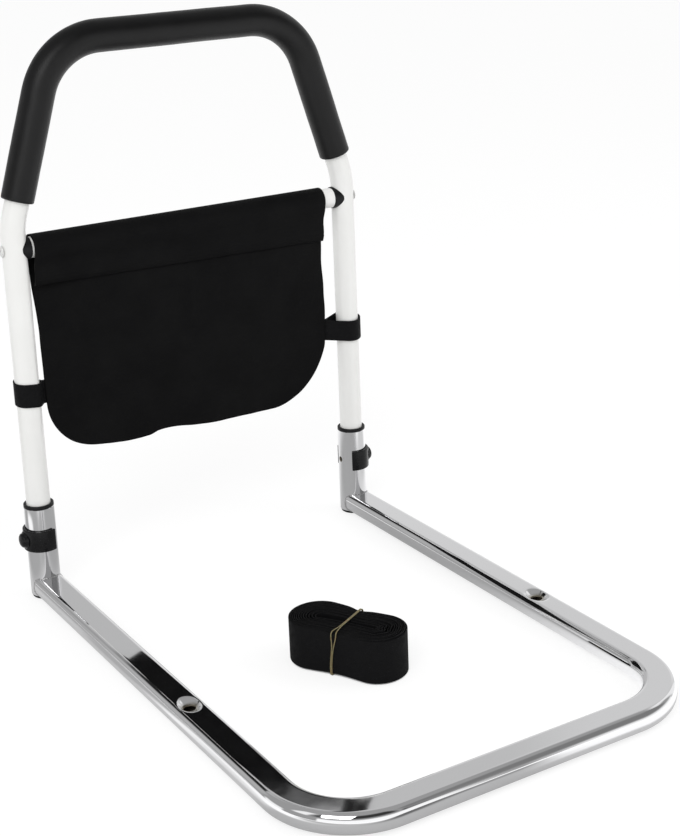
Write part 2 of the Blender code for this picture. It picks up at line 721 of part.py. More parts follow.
def make_pocket_strap(side, sign, slack, tilt, parent, finish):
    """A strap from the pocket's edge, round its upright and back behind the panel."""
    left, right = panel_ends((STRAP_HEIGHT - PANEL_BOTTOM) / PANEL_HEIGHT)
    edge = RAIL_SPACING / 2 - max(left * sign, right * sign)
    mouth = edge - 2 * STRAP_THICKNESS
    tail = edge + STRAP_TAIL
    loop = RAIL_RADIUS + CLEARANCE + slack + STRAP_THICKNESS / 2
    front = PANEL_PLANE + (CLOTH + STRAP_THICKNESS) / 2 + CLEARANCE
    back = front + STRAP_THICKNESS + CLEARANCE
    start = tangent_angle(Vector((mouth, front)), loop)
    end = -2 * math.pi - tangent_angle(Vector((mouth, -back)), loop)
    turns = [start + (end - start) * step / STRAP_STEPS for step in range(STRAP_STEPS + 1)]
    outline = [Vector((tail, front)), Vector((mouth, front))]
    outline += [Vector((loop * math.cos(turn), loop * math.sin(turn))) for turn in turns]
    outline += [Vector((mouth, back)), Vector((tail, back))]
    rings = strip_sections(outline, STRAP_THICKNESS, STRAP_WIDTH)
    rings = [[Vector((-p.x, p.y, p.z + tilt * p.y / loop)) for p in ring] for ring in rings]
    bm = bmesh.new()
    loft(bm, rings)
    if sign < 0:
        bm.transform(Matrix.Scale(-1, 4, ALONG_X))
    place = (sign * RAIL_SPACING / 2, 0, STRAP_HEIGHT - STRAP_WIDTH / 2)
    add_piece(f"{side}_pocket_strap", bm, parent, finish, place)


def tangent_angle(point, radius):
    """Where the line from a point at +X touches a circle round the origin, on its -Y side."""
    return math.atan2(point.y, point.x) - math.acos(radius / point.length)


def strip_sections(outline, thickness, width):
    """Sections of a strip that stands on its edge along a line in the ground plane."""
    rings = []
    for i, place in enumerate(outline):
        before = outline[max(i - 1, 0)]
        after = outline[min(i + 1, len(outline) - 1)]
        along = (after - before).normalized()
        away = Vector((along.y, -along.x)) * thickness / 2
        corners = ((place - away, 0), (place + away, 0), (place + away, width), (place - away, width))
        rings.append([Vector((p.x, p.y, height)) for p, height in corners])
    return rings


def winding_point(step):
    """A point of the wound webbing's middle line, which runs inwards step by step."""
    radius = BUNDLE_WIDTH / 2 - WEBBING_THICKNESS / 2 - WINDING_PITCH * step / LOOP_POINTS
    reach = (BUNDLE_LENGTH - BUNDLE_WIDTH) / 2
    place = (step + WINDING_FIRST_STEP) % LOOP_POINTS
    half = LOOP_POINTS // 2
    sign = 1 if place < half else -1
    place %= half
    if place < LOOP_END_STEPS:
        angle = math.pi * (place / LOOP_END_STEPS - 0.5)
        x = reach + radius * math.cos(angle)
        y = radius * math.sin(angle)
    else:
        x = reach * (1 - 2 * (place - LOOP_END_STEPS) / LOOP_SIDE_STEPS)
        y = radius
    pinch = WAIST_DEPTH * bump(x, WAIST_LENGTH)
    return Vector((sign * x, sign * (y - math.copysign(pinch, y))))


def least_gap(points, thickness, loop):
    """The least gap between the turns of a line of points, past half a turn apart."""
    places = np.array([tuple(point) for point in points])
    starts = places[:-1]
    runs = places[1:] - starts
    least = math.inf
    for i, place in enumerate(places):
        share = np.clip(((place - starts) * runs).sum(1) / (runs**2).sum(1), 0, 1)
        apart = np.linalg.norm(starts + runs * share[:, None] - place, axis=1)
        far = np.abs(np.arange(len(starts)) - i) > loop // 2
        least = min(least, apart[far].min())
    return least - thickness


def make_safety_strap(parent, finish):
    """The webbing, wound inwards from its outer end as one strip."""
    line = [winding_point(step) for step in range(WINDING_TURNS * LOOP_POINTS + 1)]
    gap = least_gap(line, WEBBING_THICKNESS, LOOP_POINTS)
    length = sum((after - before).length for before, after in zip(line, line[1:]))
    print(f"safety_strap: least gap {gap * 1000:.2f} mm, length {length:.2f} m")
    bm = bmesh.new()
    loft(bm, strip_sections(line, WEBBING_THICKNESS, WEBBING_WIDTH))
    add_piece("safety_strap", bm, parent, finish, (0, 0, WEBBING_LOW))


def split_runs(path, longest):
    """Add places along a path's straight runs, so that none is longer than this."""
    result = [path[0]]
    for (place, direction), (following, next_direction) in zip(path, path[1:]):
        count = math.ceil((following - place).length / longest)
        for step in range(1, count):
            result.append((place.lerp(following, step / count), direction))
        result.append((following, next_direction))
    return result


def make_rubber_band(parent, finish):
    """A flat band that goes twice round the waist and crosses itself behind the bundle."""
    outermost = [winding_point(step) for step in range(LOOP_POINTS)]
    waist = [point.y for point in outermost if abs(point.x) < WAIST_LENGTH / 4]
    spare = WEBBING_THICKNESS / 2 + CLEARANCE + BAND_THICKNESS / 2
    behind = max(waist) + spare
    before = min(waist) - spare
    low = CLEARANCE + BAND_THICKNESS / 2
    high = WEBBING_LOW + WEBBING_WIDTH + CLEARANCE + BAND_THICKNESS / 2
    middle = Vector((0, behind, (low + high) / 2))
    front_top = Vector((0, before, high))
    corners = [
        middle,
        Vector((0, behind, high)),
        front_top,
        Vector((0, before, low)),
        Vector((0, behind, low)),
        middle,
    ]
    path = rounded_path(corners, [BAND_CORNER] * 4, [BAND_CORNER_STEPS] * 4)
    path = split_runs(path, BAND_RUN)[:-1]
    wide = ALONG_X * BAND_WIDTH / 2
    centres = []
    rings = []
    for i in range(2 * len(path)):
        place, direction = path[i % len(path)]
        away = direction.cross(ALONG_X)
        turn = i / len(path)
        swing = math.sin(math.pi * turn)
        side = swing / math.hypot(swing, math.pi * BAND_CROSSING / 2)
        splay = BAND_SPLAY * bump((place - front_top).length, BAND_SPLAY_LENGTH)
        lift = (BAND_THICKNESS + BAND_CROSSING_GAP) * bump(turn - 1, BAND_CROSSING)
        centre = place + away * lift + ALONG_X * side * (BAND_SPACING + splay) / 2
        thick = away * BAND_THICKNESS / 2
        inner = centre - thick
        outer = centre + thick
        rings.append([inner - wide, inner + wide, outer + wide, outer - wide])
        centres.append(centre)
    gap = least_gap(centres, BAND_WIDTH, len(path))
    print(f"rubber_band: least gap beside itself {gap * 1000:.2f} mm")
    bm = bmesh.new()
    loft(bm, rings, closed=True)
    add_piece("rubber_band", bm, parent, finish)


def build():
    """Make every piece, each body under its own carrier."""
    clear_scene()
    chrome = material("chrome", (0.80, 0.80, 0.81), 0.08, 1.0)
    paint = material("white_paint", (0.86, 0.86, 0.84), 0.25)
    plastic = material("black_plastic", (0.016, 0.016, 0.018), 0.35)
    gloss = material("gloss_black_plastic", (0.014, 0.014, 0.016), 0.15)
    foam = material("black_foam", (0.014, 0.014, 0.016), 0.75)
    cloth = material("black_cloth", (0.010, 0.010, 0.011), 0.85)
    webbing = material("black_webbing", (0.011, 0.011, 0.012), 0.80)
    rubber = material("yellow_rubber", (0.45, 0.36, 0.16), 0.45)
    zinc = material("white_screw", (0.80, 0.80, 0.79), 0.35)

    base = empty("base", location=(0, UPRIGHT_Y, 0))
    make_base_frame(base, chrome)
    make_sockets(base, chrome, plastic)

    handrail = empty("handrail", base)
    make_handrail(handrail, paint, foam)
    make_crossbar(handrail, paint, plastic, zinc)
    make_pocket_panel(handrail, cloth)
    make_pocket_pouch(handrail, cloth)
    make_pocket_strap("left", -1, LEFT_STRAP_SLACK, LEFT_STRAP_TILT, handrail, webbing)
    make_pocket_strap("right", 1, RIGHT_STRAP_SLACK, RIGHT_STRAP_TILT, handrail, webbing)

    for side, sign in SIDES:
        make_clip(side, sign, base, gloss)

    bundle = empty("strap_bundle", base, (BUNDLE_X, -BUNDLE_DISTANCE, 0))
    bundle.rotation_euler.z = BUNDLE_TURN
    make_safety_strap(bundle, webbing)
    make_rubber_band(bundle, rubber)


build()
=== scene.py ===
"""Looks of the bed rail: its finished pieces, their materials, the light and the camera.

Lengths are in metres in the part's frame: the uprights stand at UPRIGHT_Y, and the
front bar lies towards -Y. Points are numpy arrays, one row of points per section.
The profile of a turned piece is a list of (radius, height).
"""
import math

import bmesh
import bpy
import numpy as np
from mathutils import Matrix, Vector


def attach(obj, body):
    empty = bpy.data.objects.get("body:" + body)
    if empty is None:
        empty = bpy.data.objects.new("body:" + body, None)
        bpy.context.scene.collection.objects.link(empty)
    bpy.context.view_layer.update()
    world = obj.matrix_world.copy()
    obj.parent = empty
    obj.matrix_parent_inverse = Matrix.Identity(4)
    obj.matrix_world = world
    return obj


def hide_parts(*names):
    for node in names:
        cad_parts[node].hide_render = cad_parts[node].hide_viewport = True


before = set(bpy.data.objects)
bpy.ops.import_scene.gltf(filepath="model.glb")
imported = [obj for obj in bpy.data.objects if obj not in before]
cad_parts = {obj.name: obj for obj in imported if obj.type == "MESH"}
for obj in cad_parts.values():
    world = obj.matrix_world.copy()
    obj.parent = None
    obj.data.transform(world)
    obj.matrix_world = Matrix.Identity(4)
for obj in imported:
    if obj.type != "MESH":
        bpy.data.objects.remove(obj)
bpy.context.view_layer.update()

# Places and sizes of the solids, as in the part's source
UPRIGHT_Y = 0.28685
UPRIGHT_X = 0.195
RAIL_RADIUS = 0.0127
RAIL_BORE = 0.0115
RAIL_END = 0.0168
BEND_HEIGHT = 0.4035
BEND_RADIUS = 0.100
TOP_HEIGHT = 0.585
TOP_X = 0.13865
TOP_RADIUS = 0.071
GRIP_RADIUS = 0.017
GRIP_BORE = 0.01295
GRIP_START = 0.4291
PIN_HEIGHTS = (0.0668, 0.0468, 0.0268)
PIN_RADIUS = 0.0033
SOCKET_RADIUS = 0.016
SOCKET_BORE = 0.0145
SOCKET_TOP = 0.102
CLIP_RADIUS = 0.0178
BASE_LIFT = 0.003
BASE_AXIS = 0.0134
ARM_LENGTH = 0.576
ARM_SETBACK = 0.008
CORNER_RADIUS = 0.070
TUBE_WIDTH = 0.0332
TUBE_HEIGHT = 0.0206
TUBE_WALL = 0.0015
TUBE_FLAT = 0.0190
HOLE_DISTANCE = {"left": 0.344, "right": 0.350}
HOLE_RADIUS = 0.006
DIMPLE_HALF_WIDTH = 0.0118
DIMPLE_HALF_LENGTH = 0.0165
DIMPLE_DEPTH = 0.0040
CROSSBAR_HEIGHT = 0.380
CROSSBAR_RADIUS = 0.0111
CROSSBAR_BORE = 0.0099
CROSSBAR_HALF = 0.1792
FIT_GAP = 0.0002
SIDES = (("left", -1), ("right", 1))
ALONG_X, ALONG_Y, UP = np.eye(3)


# Shapes

def ease(value, start, end):
    """Grow smoothly from 0 at the start to 1 at the end."""
    share = np.clip((value - start) / (end - start), 0.0, 1.0)
    return share * share * (3 - 2 * share)


def bump(value, width):
    """A smooth swell, 1 at its middle."""
    return np.exp(-((value / width) ** 2))


def swells(value, table):
    """The sum of smooth swells, each given by its height, place and width."""
    return sum(height * bump(value - place, width) for height, place, width in table)


def points_of(*coordinates):
    """Points from their coordinates, which are arrays or single numbers."""
    return np.stack(np.broadcast_arrays(*coordinates), -1)


def unit(vectors):
    """The direction of each vector."""
    return vectors / np.linalg.norm(vectors, axis=-1, keepdims=True)


def ripple(points, length, seed):
    """Smooth, seeded unevenness from about -1 to 1, whose humps are about this long."""
    chance = np.random.default_rng(seed)
    total = np.zeros(points.shape[:-1])
    for _ in range(9):
        turn = chance.normal(size=points.shape[-1])
        turn *= 2 * math.pi / length / np.linalg.norm(turn) * chance.uniform(0.6, 1.4)
        total += np.sin(points @ turn + chance.uniform(0, 2 * math.pi))
    return total / 4.5


def circle(radius, sides):
    """Points round a circle."""
    angles = np.arange(sides) * (2 * math.pi / sides)
    return radius * points_of(np.cos(angles), np.sin(angles))


def flat_oval(width, height, flat, arc_steps=24, flat_steps=16):
    """Two half ellipses joined by flats."""
    reach = (width - flat) / 2
    radius = height / 2
    arc = np.linspace(-math.pi / 2, math.pi / 2, arc_steps + 1)
    right = points_of(flat / 2 + reach * np.cos(arc), radius * np.sin(arc))
    across = np.linspace(flat / 2, -flat / 2, flat_steps + 1)[1:-1]
    top = points_of(across, radius)
    return np.concatenate([right, top, -right, -top[::4]])


def rounded_rectangle(width, height, radius, steps=4):
    """A rectangle whose corners are arcs."""
    angles = (np.arange(4)[:, None] + np.arange(steps + 1) / steps) * math.pi / 2
    corners = np.array([[(1, 1)], [(-1, 1)], [(-1, -1)], [(1, -1)]])
    centres = corners * [width / 2 - radius, height / 2 - radius]
    return (centres + radius * points_of(np.cos(angles), np.sin(angles))).reshape(-1, 2)


def path_through(corners, radii, normal, turn_step=math.radians(2.5), run_step=0.008):
    """Places and directions along straight runs that arcs join in the plane of this normal."""
    corners = [np.array(corner, float) for corner in corners]
    places = [corners[0]]
    directions = []

    def run_to(end):
        start = places[-1]
        count = max(1, math.ceil(np.linalg.norm(end - start) / run_step))
        places.extend(start + (end - start) * step / count for step in range(1, count + 1))
        directions.extend([unit(end - start)] * (len(places) - len(directions)))

    for before, corner, after, radius in zip(corners, corners[1:], corners[2:], radii):
        incoming = unit(corner - before)
        outgoing = unit(after - corner)
        turn = math.acos(np.clip(incoming @ outgoing, -1, 1))
        sign = math.copysign(1, np.cross(incoming, outgoing) @ normal)
        start = corner - incoming * radius * math.tan(turn / 2)
        run_to(start)
        side = np.cross(normal, incoming) * sign
        centre = start + side * radius
        count = max(2, math.ceil(turn / turn_step))
        for angle in np.linspace(0, turn, count + 1)[1:]:
            away = incoming * math.sin(angle) - side * math.cos(angle)
            places.append(centre + radius * away)
            directions.append(incoming * math.cos(angle) + side * math.sin(angle))
    run_to(corners[-1])
    return np.array(places), np.array(directions)


def sweep(profile, places, directions, normal):
    """Sections of a profile along a flat path. The profile may be one, or one for each place."""
    side = np.cross(normal, directions)[:, None]
    return places[:, None] + side * profile[..., :1] + normal * profile[..., 1:]


def run_lengths(places):
    """How far along a line of points each of them lies."""
    steps = np.linalg.norm(np.diff(places, axis=0), axis=1)
    return np.concatenate([[0.0], np.cumsum(steps)])


def at_lengths(points, lengths, stations):
    """The points of a line at these distances along it."""
    return points_of(*(np.interp(stations, lengths, axis) for axis in points.T))


def touch_angle(x, y, radius):
    """Where round a circle a line from this point touches it."""
    return math.atan2(y, x) - math.acos(radius / math.hypot(x, y))


def turned(profile, sides, axis="z"):
    """Sections of a profile turned round Z or X."""
    radius, height = np.array(profile, float).T[..., None]
    ring = circle(1.0, sides)
    points = points_of(radius * ring[:, 0], radius * ring[:, 1], height)
    return points if axis == "z" else points[..., [2, 0, 1]]


# Objects. Their finishes are names in FINISHES, which make_finishes fills.

FINISHES = {}


def add_object(name, data):
    """An object in the scene."""
    made = bpy.data.objects.new(name, data)
    bpy.context.scene.collection.objects.link(made)
    return made


def add_mesh(name, points, faces, body, finishes, slots=None, uv=None, sharp=40):
    """An object of a mesh, smooth apart from its sharp edges, that rides on a body."""
    mesh = bpy.data.meshes.new(name)
    mesh.from_pydata(np.asarray(points).reshape(-1, 3).tolist(), [], faces)
    for finish in finishes:
        mesh.materials.append(FINISHES.get(finish))
    if slots is not None:
        mesh.polygons.foreach_set("material_index", np.asarray(slots, np.int32))
    if uv is not None:
        layer = mesh.uv_layers.new(name="UVMap")
        layer.data.foreach_set("uv", np.asarray(uv, np.float32).ravel())
    mesh.update()
    mesh.shade_smooth()
    mesh.set_sharp_from_angle(angle=math.radians(sharp))
    made = add_object(name, mesh)
    if body:
        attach(made, body)
    return made


def add_grid(name, points, body, finishes, wrap_rows=False, wrap_columns=True, caps=False,
             row_slots=None, uv=None, sharp=40):
    """An object of rows of points. uv holds how far along and across each row and column lies.

    Where the columns wrap, the piece is closed and its faces point outwards.
    """
    rows, columns = points.shape[:2]
    row = np.arange(rows if wrap_rows else rows - 1)
    column = np.arange(columns if wrap_columns else columns - 1)
    low, left = (item.ravel() for item in np.meshgrid(row, column, indexing="ij"))
    high, right = (low + 1) % rows, (left + 1) % columns
    corners = ((low, left), (low, right), (high, right), (high, left))
    faces = np.stack([r * columns + c for r, c in corners], 1).tolist()
    slots = None if row_slots is None else list(np.asarray(row_slots)[low])
    layer = None
    if uv is not None:
        along, across = uv
        corners = ((low, left), (low, left + 1), (low + 1, left + 1), (low + 1, left))
        layer = np.stack([points_of(across[c], along[r]) for r, c in corners], 1).reshape(-1, 2)
    if caps:
        faces += [list(range(columns))[::-1], list(range((rows - 1) * columns, rows * columns))]
        if slots is not None:
            slots += [0, 0]
        if layer is not None:
            layer = np.concatenate([layer, np.zeros((2 * columns, 2))])
    made = add_mesh(name, points, faces, body, finishes, slots, layer, sharp)
    return turn_outwards(made) if wrap_columns else made


def add_tube(name, outer, inner, body, finishes, sharp=40):
    """A hollow piece of outer and inner sections. Its last finish goes on the bore."""
    bore = len(finishes) - 1
    return add_grid(name, np.concatenate([outer, inner[::-1]]), body, finishes, wrap_rows=True,
                    row_slots=[0] * len(outer) + [bore] * (len(inner) - 1) + [0], sharp=sharp)


def turn_outwards(piece):
    """Point all of a closed piece's faces outwards."""
    bm = bmesh.new()
    bm.from_mesh(piece.data)
    bmesh.ops.recalc_face_normals(bm, faces=bm.faces)
    bm.to_mesh(piece.data)
    bm.free()
    return piece


def cut(piece, cutters, sharp=40):
    """Cut a piece with others, which may be mirrored and are used up."""
    for cutter in cutters:
        modifier = piece.modifiers.new("cut", "BOOLEAN")
        modifier.operation = "DIFFERENCE"
        modifier.solver = "EXACT"
        modifier.object = turn_outwards(cutter)
    bpy.context.view_layer.update()
    graph = bpy.context.evaluated_depsgraph_get()
    mesh = bpy.data.meshes.new_from_object(piece.evaluated_get(graph))
    piece.modifiers.clear()
    piece.data = mesh
    mesh.shade_smooth()
    mesh.set_sharp_from_angle(angle=math.radians(sharp))
    for cutter in cutters:
        bpy.data.objects.remove(cutter, do_unlink=True)
    return piece


def rod(radius, low, high, place, axis, sides=48, slot=1):
    """A cutter that leaves a slot's material on what it cuts."""
    points = turned([(radius, low), (radius, high)], sides, axis) + place
    made = add_grid("rod", points, None, (None, None), caps=True)
    made.data.polygons.foreach_set("material_index", [slot] * len(made.data.polygons))
    return made


def add_turned(name, profile, body, finishes, place, sign=1, axis="z", sides=96, hollow=False,
               row_slots=None, sharp=40):
    """A turned piece. Along X, sign -1 turns it to face -X."""
    points = turned(profile, sides, axis)
    if sign < 0:
        points = points * [-1, -1, 1]
    return add_grid(name, points + place, body, finishes, wrap_rows=hollow,
                    caps=not hollow, row_slots=row_slots, sharp=sharp)


# Materials

class Nodes:
    """A node tree, to which short calls add nodes."""

    def __init__(self, tree):
        self.tree = tree

    def put(self, node, name, value):
        socket = node.inputs[name]
        if isinstance(value, bpy.types.NodeSocket):
            self.tree.links.new(value, socket)
        elif isinstance(value, tuple) and len(value) == 3 and socket.type == "RGBA":
            socket.default_value = (*value, 1.0)
        else:
            socket.default_value = value

    def add(self, kind, output, inputs, **settings):
        node = self.tree.nodes.new("ShaderNode" + kind)
        for key, value in settings.items():
            setattr(node, key, value)
        for key, value in inputs.items():
            self.put(node, key, value)
        return node.outputs[output]

    def count(self, operation, *values):
        return self.add("Math", 0, dict(enumerate(values)), operation=operation)

    def plus(self, first, second):
        return self.count("ADD", first, second)

    def minus(self, first, second):
        return self.count("SUBTRACT", first, second)

    def times(self, first, second):
        return self.count("MULTIPLY", first, second)

    def squares(self, first, second):
        """The sum of two squares."""
        return self.plus(self.times(first, first), self.times(second, second))

    def mix(self, share, first, second):
        return self.add("Mix", 2, {0: share, 6: first, 7: second}, data_type="RGBA")

    def paint(self, under, value, share):
        """Lay a value over what lies under it."""
        return self.count("MULTIPLY_ADD", share, self.minus(value, under), under)

    def reach(self, value, start, end, low, high, **settings):
        """Map one reach of values to another."""
        return self.add("MapRange", "Result", {
            "Value": value, "From Min": start, "From Max": end, "To Min": low, "To Max": high,
        }, **settings)

    def rise(self, value, start, end, low=0.0, high=1.0):
        """Go smoothly from low to high between two values."""
        return self.reach(value, start, end, low, high, interpolation_type="SMOOTHSTEP")

    def fall(self, value, start, end):
        """Go smoothly from 1 to 0 between two values."""
        return self.rise(value, start, end, 1.0, 0.0)

    def window(self, value, low, high, soft):
        """1 between two values, with soft edges."""
        start = self.rise(value, low - soft, low + soft)
        return self.times(start, self.fall(value, high - soft, high + soft))

    def spot(self, space="Object"):
        return self.add("TexCoord", space, {})

    def parts(self, vector):
        """The X, Y and Z of a vector."""
        return self.add("SeparateXYZ", 0, {0: vector}).node.outputs

    def distance(self, place, sizes, turn=0):
        """How far a point lies from a place, in these sizes along turned axes."""
        near = self.add("Mapping", "Vector", {
            "Vector": self.spot(), "Location": place, "Rotation": (0, 0, turn), "Scale": sizes,
        }, vector_type="TEXTURE")
        return self.add("VectorMath", "Value", {0: near}, operation="LENGTH")

    def rays(self):
        """The kinds of ray, and the share of those that the camera sees directly."""
        kinds = self.add("LightPath", 0, {}).node.outputs
        return kinds, self.plus(kinds["Is Camera Ray"], kinds["Is Transmission Ray"])


class Finish(Nodes):
    """A Principled material with noise in its colour, its roughness and its relief.

    tone is the noise's scale and two colours, rough its scale and two values, and skin its
    scale and the relief's strength and depth. detail is that of the last two.
    """

    def __init__(self, name, tone=None, rough=None, skin=None, detail=3.0, **values):
        material = bpy.data.materials.new(name)
        material.use_nodes = True
        FINISHES[name] = material
        super().__init__(material.node_tree)
        self.shader = self.tree.nodes["Principled BSDF"]
        for key, value in values.items():
            self.set(key.replace("_", " "), value)
        if tone:
            self.set("Base Color", self.mix(self.spread(self.noise(tone[0]), 0, 1), *tone[1:]))
        if rough:
            self.set("Roughness", self.spread(self.noise(rough[0], detail), *rough[1:]))
        if skin:
            self.set("Normal", self.relief(self.noise(skin[0], detail), *skin[1:]))

    def set(self, name, value):
        self.put(self.shader, name, value)

    def place(self, scale=(1, 1, 1)):
        """Where on the piece a point lies, in metres, stretched by a scale."""
        return self.add("Mapping", "Vector", {"Vector": self.spot(), "Scale": scale})

    def noise(self, scale, detail=3.0, stretch=(1, 1, 1)):
        return self.add("TexNoise", "Fac", {
            "Vector": self.place(stretch), "Scale": scale, "Detail": detail, "Roughness": 0.5,
        })

    def spread(self, noise, low, high):
        """Map a noise's usual reach to another one."""
        return self.reach(noise, 0.3, 0.7, low, high)

    def relief(self, height, strength, distance, under=None):
        inputs = {"Height": height, "Strength": strength, "Distance": distance}
        if under is not None:
            inputs["Normal"] = under
        return self.add("Bump", "Normal", inputs)

    def weave(self, pitch_across, pitch_along):
        """The height of a plain weave's threads."""
        across, along, _ = self.parts(self.spot("UV"))
        s = self.count("DIVIDE", across, pitch_across)
        t = self.count("DIVIDE", along, pitch_along)
        floors = self.plus(self.count("FLOOR", s), self.count("FLOOR", t))
        odd = self.count("PINGPONG", floors, 1.0)
        warp = self.count("ABSOLUTE", self.count("SINE", self.times(s, math.pi)))
        weft = self.count("ABSOLUTE", self.count("SINE", self.times(t, math.pi)))
        return self.plus(self.times(warp, odd), self.times(weft, self.minus(1.0, odd)))


def make_finishes():
    """Every material of the part, by its name in the record, and those of cuts and welds."""
    chrome = Finish("chrome", skin=(22.0, 0.12, 0.001), detail=1.0, Metallic=1.0)
    tint = (0.80, 0.80, 0.81)
    rough = chrome.spread(chrome.noise(60.0), 0.035, 0.075)
    # Painted reflection: round each pressed bolt hole the chrome turns a dull beige and rougher,
    # which stands in for the soft beige reflection in the dimple.
    for side, sign in SIDES:
        hole = (sign * UPRIGHT_X, UPRIGHT_Y - HOLE_DISTANCE[side], 0.022)
        painted_dimple_reflection = chrome.fall(chrome.distance(hole, (0.01, 0.01, 0.01)), 0.55, 1.00)
        tint = chrome.mix(painted_dimple_reflection, tint, (0.36, 0.33, 0.27))
        rough = chrome.paint(rough, 0.26, painted_dimple_reflection)
    chrome.set("Base Color", tint)
    chrome.set("Roughness", rough)

    Finish("bare_steel", (180.0, (0.30, 0.25, 0.18), (0.48, 0.44, 0.36)),
           Metallic=0.7, Roughness=0.5)
    Finish("weld", (900.0, (0.36, 0.35, 0.35), (0.62, 0.62, 0.63)), (900.0, 0.22, 0.42),
           (900.0, 0.5, 0.0006), Metallic=1.0)
    Finish("white_paint", (14.0, (0.84, 0.84, 0.82), (0.88, 0.88, 0.865)),
           skin=(420.0, 0.10, 0.0004), detail=2.0, Roughness=0.30,
           Coat_Weight=0.35, Coat_Roughness=0.12)
    Finish("white_screw", (500.0, (0.66, 0.66, 0.65), (0.82, 0.82, 0.81)), Roughness=0.38)
    Finish("black_plastic", rough=(1500.0, 0.34, 0.50), skin=(1500.0, 0.25, 0.0003), detail=2.0,
           Base_Color=(0.006, 0.006, 0.007), Specular_IOR_Level=0.20)
    Finish("gloss_black_plastic", rough=(260.0, 0.20, 0.34), skin=(700.0, 0.12, 0.0003),
           Base_Color=(0.0045, 0.0045, 0.0050), Specular_IOR_Level=0.24)
    Finish("yellow_rubber", (300.0, (0.165, 0.130, 0.058), (0.215, 0.178, 0.084)),
           Roughness=0.42, Subsurface_Weight=0.15, Subsurface_Scale=0.001)

    foam = Finish("black_foam", (45.0, (0.0012, 0.0012, 0.0014), (0.0024, 0.0024, 0.0027)),
                  (700.0, 0.33, 0.44), Specular_IOR_Level=0.28)
    pores = foam.add("TexVoronoi", "Distance", {"Vector": foam.place(), "Scale": 1500.0})
    soft = foam.relief(foam.noise(45.0), 0.10, 0.002)
    foam.set("Normal", foam.relief(pores, 0.30, 0.0003, soft))

    cloth = Finish("black_cloth", (30.0, (0.0038, 0.0038, 0.0041), (0.0055, 0.0055, 0.0057)),
                   Specular_IOR_Level=0.06, Roughness=0.62)
    slack = cloth.relief(cloth.noise(55.0, 4.0, (1, 1, 2.2)), 0.20, 0.004)
    cloth.set("Normal", cloth.relief(cloth.weave(0.0007, 0.0007), 0.35, 0.0003, slack))

    webbing = Finish("black_webbing", rough=(200.0, 0.50, 0.68), Specular_IOR_Level=0.08)
    ribs = webbing.weave(0.0018, 0.0011)
    # Painted shade: the base colour follows the weave's relief, darker in the grooves between the
    # threads and lighter on their tops.
    webbing.set("Base Color", webbing.mix(ribs, (0.0036, 0.0036, 0.0040), (0.0070, 0.0070, 0.0076)))
    webbing.set("Normal", webbing.relief(ribs, 0.55, 0.0005))


# Base

def make_base():
    """The U of flat-oval tube with its pressed bolt holes, coped round the sockets."""
    front = UPRIGHT_Y - ARM_LENGTH
    back = UPRIGHT_Y - ARM_SETBACK
    corners = [(-UPRIGHT_X, back), (-UPRIGHT_X, front), (UPRIGHT_X, front), (UPRIGHT_X, back)]
    corners = [(x, y, BASE_AXIS) for x, y in corners]
    path = path_through(corners, [CORNER_RADIUS] * 2, UP, run_step=0.0015)
    wall = 2 * TUBE_WALL
    outer = sweep(flat_oval(TUBE_WIDTH, TUBE_HEIGHT, TUBE_FLAT), *path, UP)
    inner = sweep(flat_oval(TUBE_WIDTH - wall, TUBE_HEIGHT - wall, TUBE_FLAT), *path, UP)
    cutters = []
    for side, sign in SIDES:
        x, y = sign * UPRIGHT_X, UPRIGHT_Y - HOLE_DISTANCE[side]
        for points in (outer, inner):
            across = (points[..., 0] - x) / DIMPLE_HALF_WIDTH
            along = (points[..., 1] - y) / DIMPLE_HALF_LENGTH
            dip = ease(1 - np.hypot(across, along), 0.0, 0.60)
            points[..., 2] -= DIMPLE_DEPTH * dip * (points[..., 2] > BASE_AXIS)
        cutters.append(rod(SOCKET_RADIUS + FIT_GAP, -0.01, 0.06, (x, UPRIGHT_Y, 0), "z", 96))
        cutters.append(rod(HOLE_RADIUS, 0, 0.06, (x, y, -0.01), "z"))
    base = add_tube("base_tube", outer, inner, "base", ("chrome", "bare_steel"), 50)
    cut(base, cutters, 50)
    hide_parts("base_frame")


def make_sockets():
    """The upright tubes, their foot plugs, their bushings and the welds to the base."""
    edge = 0.0004
    profile = [
        (SOCKET_RADIUS - edge, BASE_LIFT), (SOCKET_RADIUS, BASE_LIFT + edge),
        (SOCKET_RADIUS, SOCKET_TOP - edge), (SOCKET_RADIUS - edge, SOCKET_TOP),
        (SOCKET_BORE, SOCKET_TOP), (SOCKET_BORE, BASE_LIFT),
    ]
    for side, sign in SIDES:
        place = (sign * UPRIGHT_X, UPRIGHT_Y, 0)
        socket = add_turned(f"{side}_socket_tube", profile, "base", ("chrome", "bare_steel"),
                            place, hollow=True, row_slots=[0, 0, 0, 0, 1, 0], sharp=30)
        cut(socket, [rod(PIN_RADIUS, -0.03, 0.03, (*place[:2], PIN_HEIGHTS[0]), "x")], 30)
        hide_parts(f"{side}_socket")

        plug = add_turned(f"{side}_foot", [
            (0.0117, 0.003), (0.0117, 0.015), (0.0139, 0.015), (0.0142, 0.0125),
            (0.0142, 0.0027), (0.0150, 0.0027), (0.0150, 0.0012), (0.0147, 0.0005),
            (0.0141, 0.0001), (0.0134, 0.0),
        ], "base", ("black_plastic",), place, sharp=35)
        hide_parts(f"{side}_foot_plug")

        collar = add_turned(f"{side}_collar", [
            (0.0142, 0.077), (0.0142, 0.1023), (0.0160, 0.1023), (0.0160, 0.1046),
            (0.01585, 0.1051), (0.0155, 0.10545), (0.0150, 0.1055), (0.01345, 0.1055),
            (0.0131, 0.1052), (0.0130, 0.1047), (0.0130, 0.077),
        ], "base", ("black_plastic",), place, hollow=True, sharp=35)
        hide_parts(f"{side}_bushing")
        make_weld(side, sign)


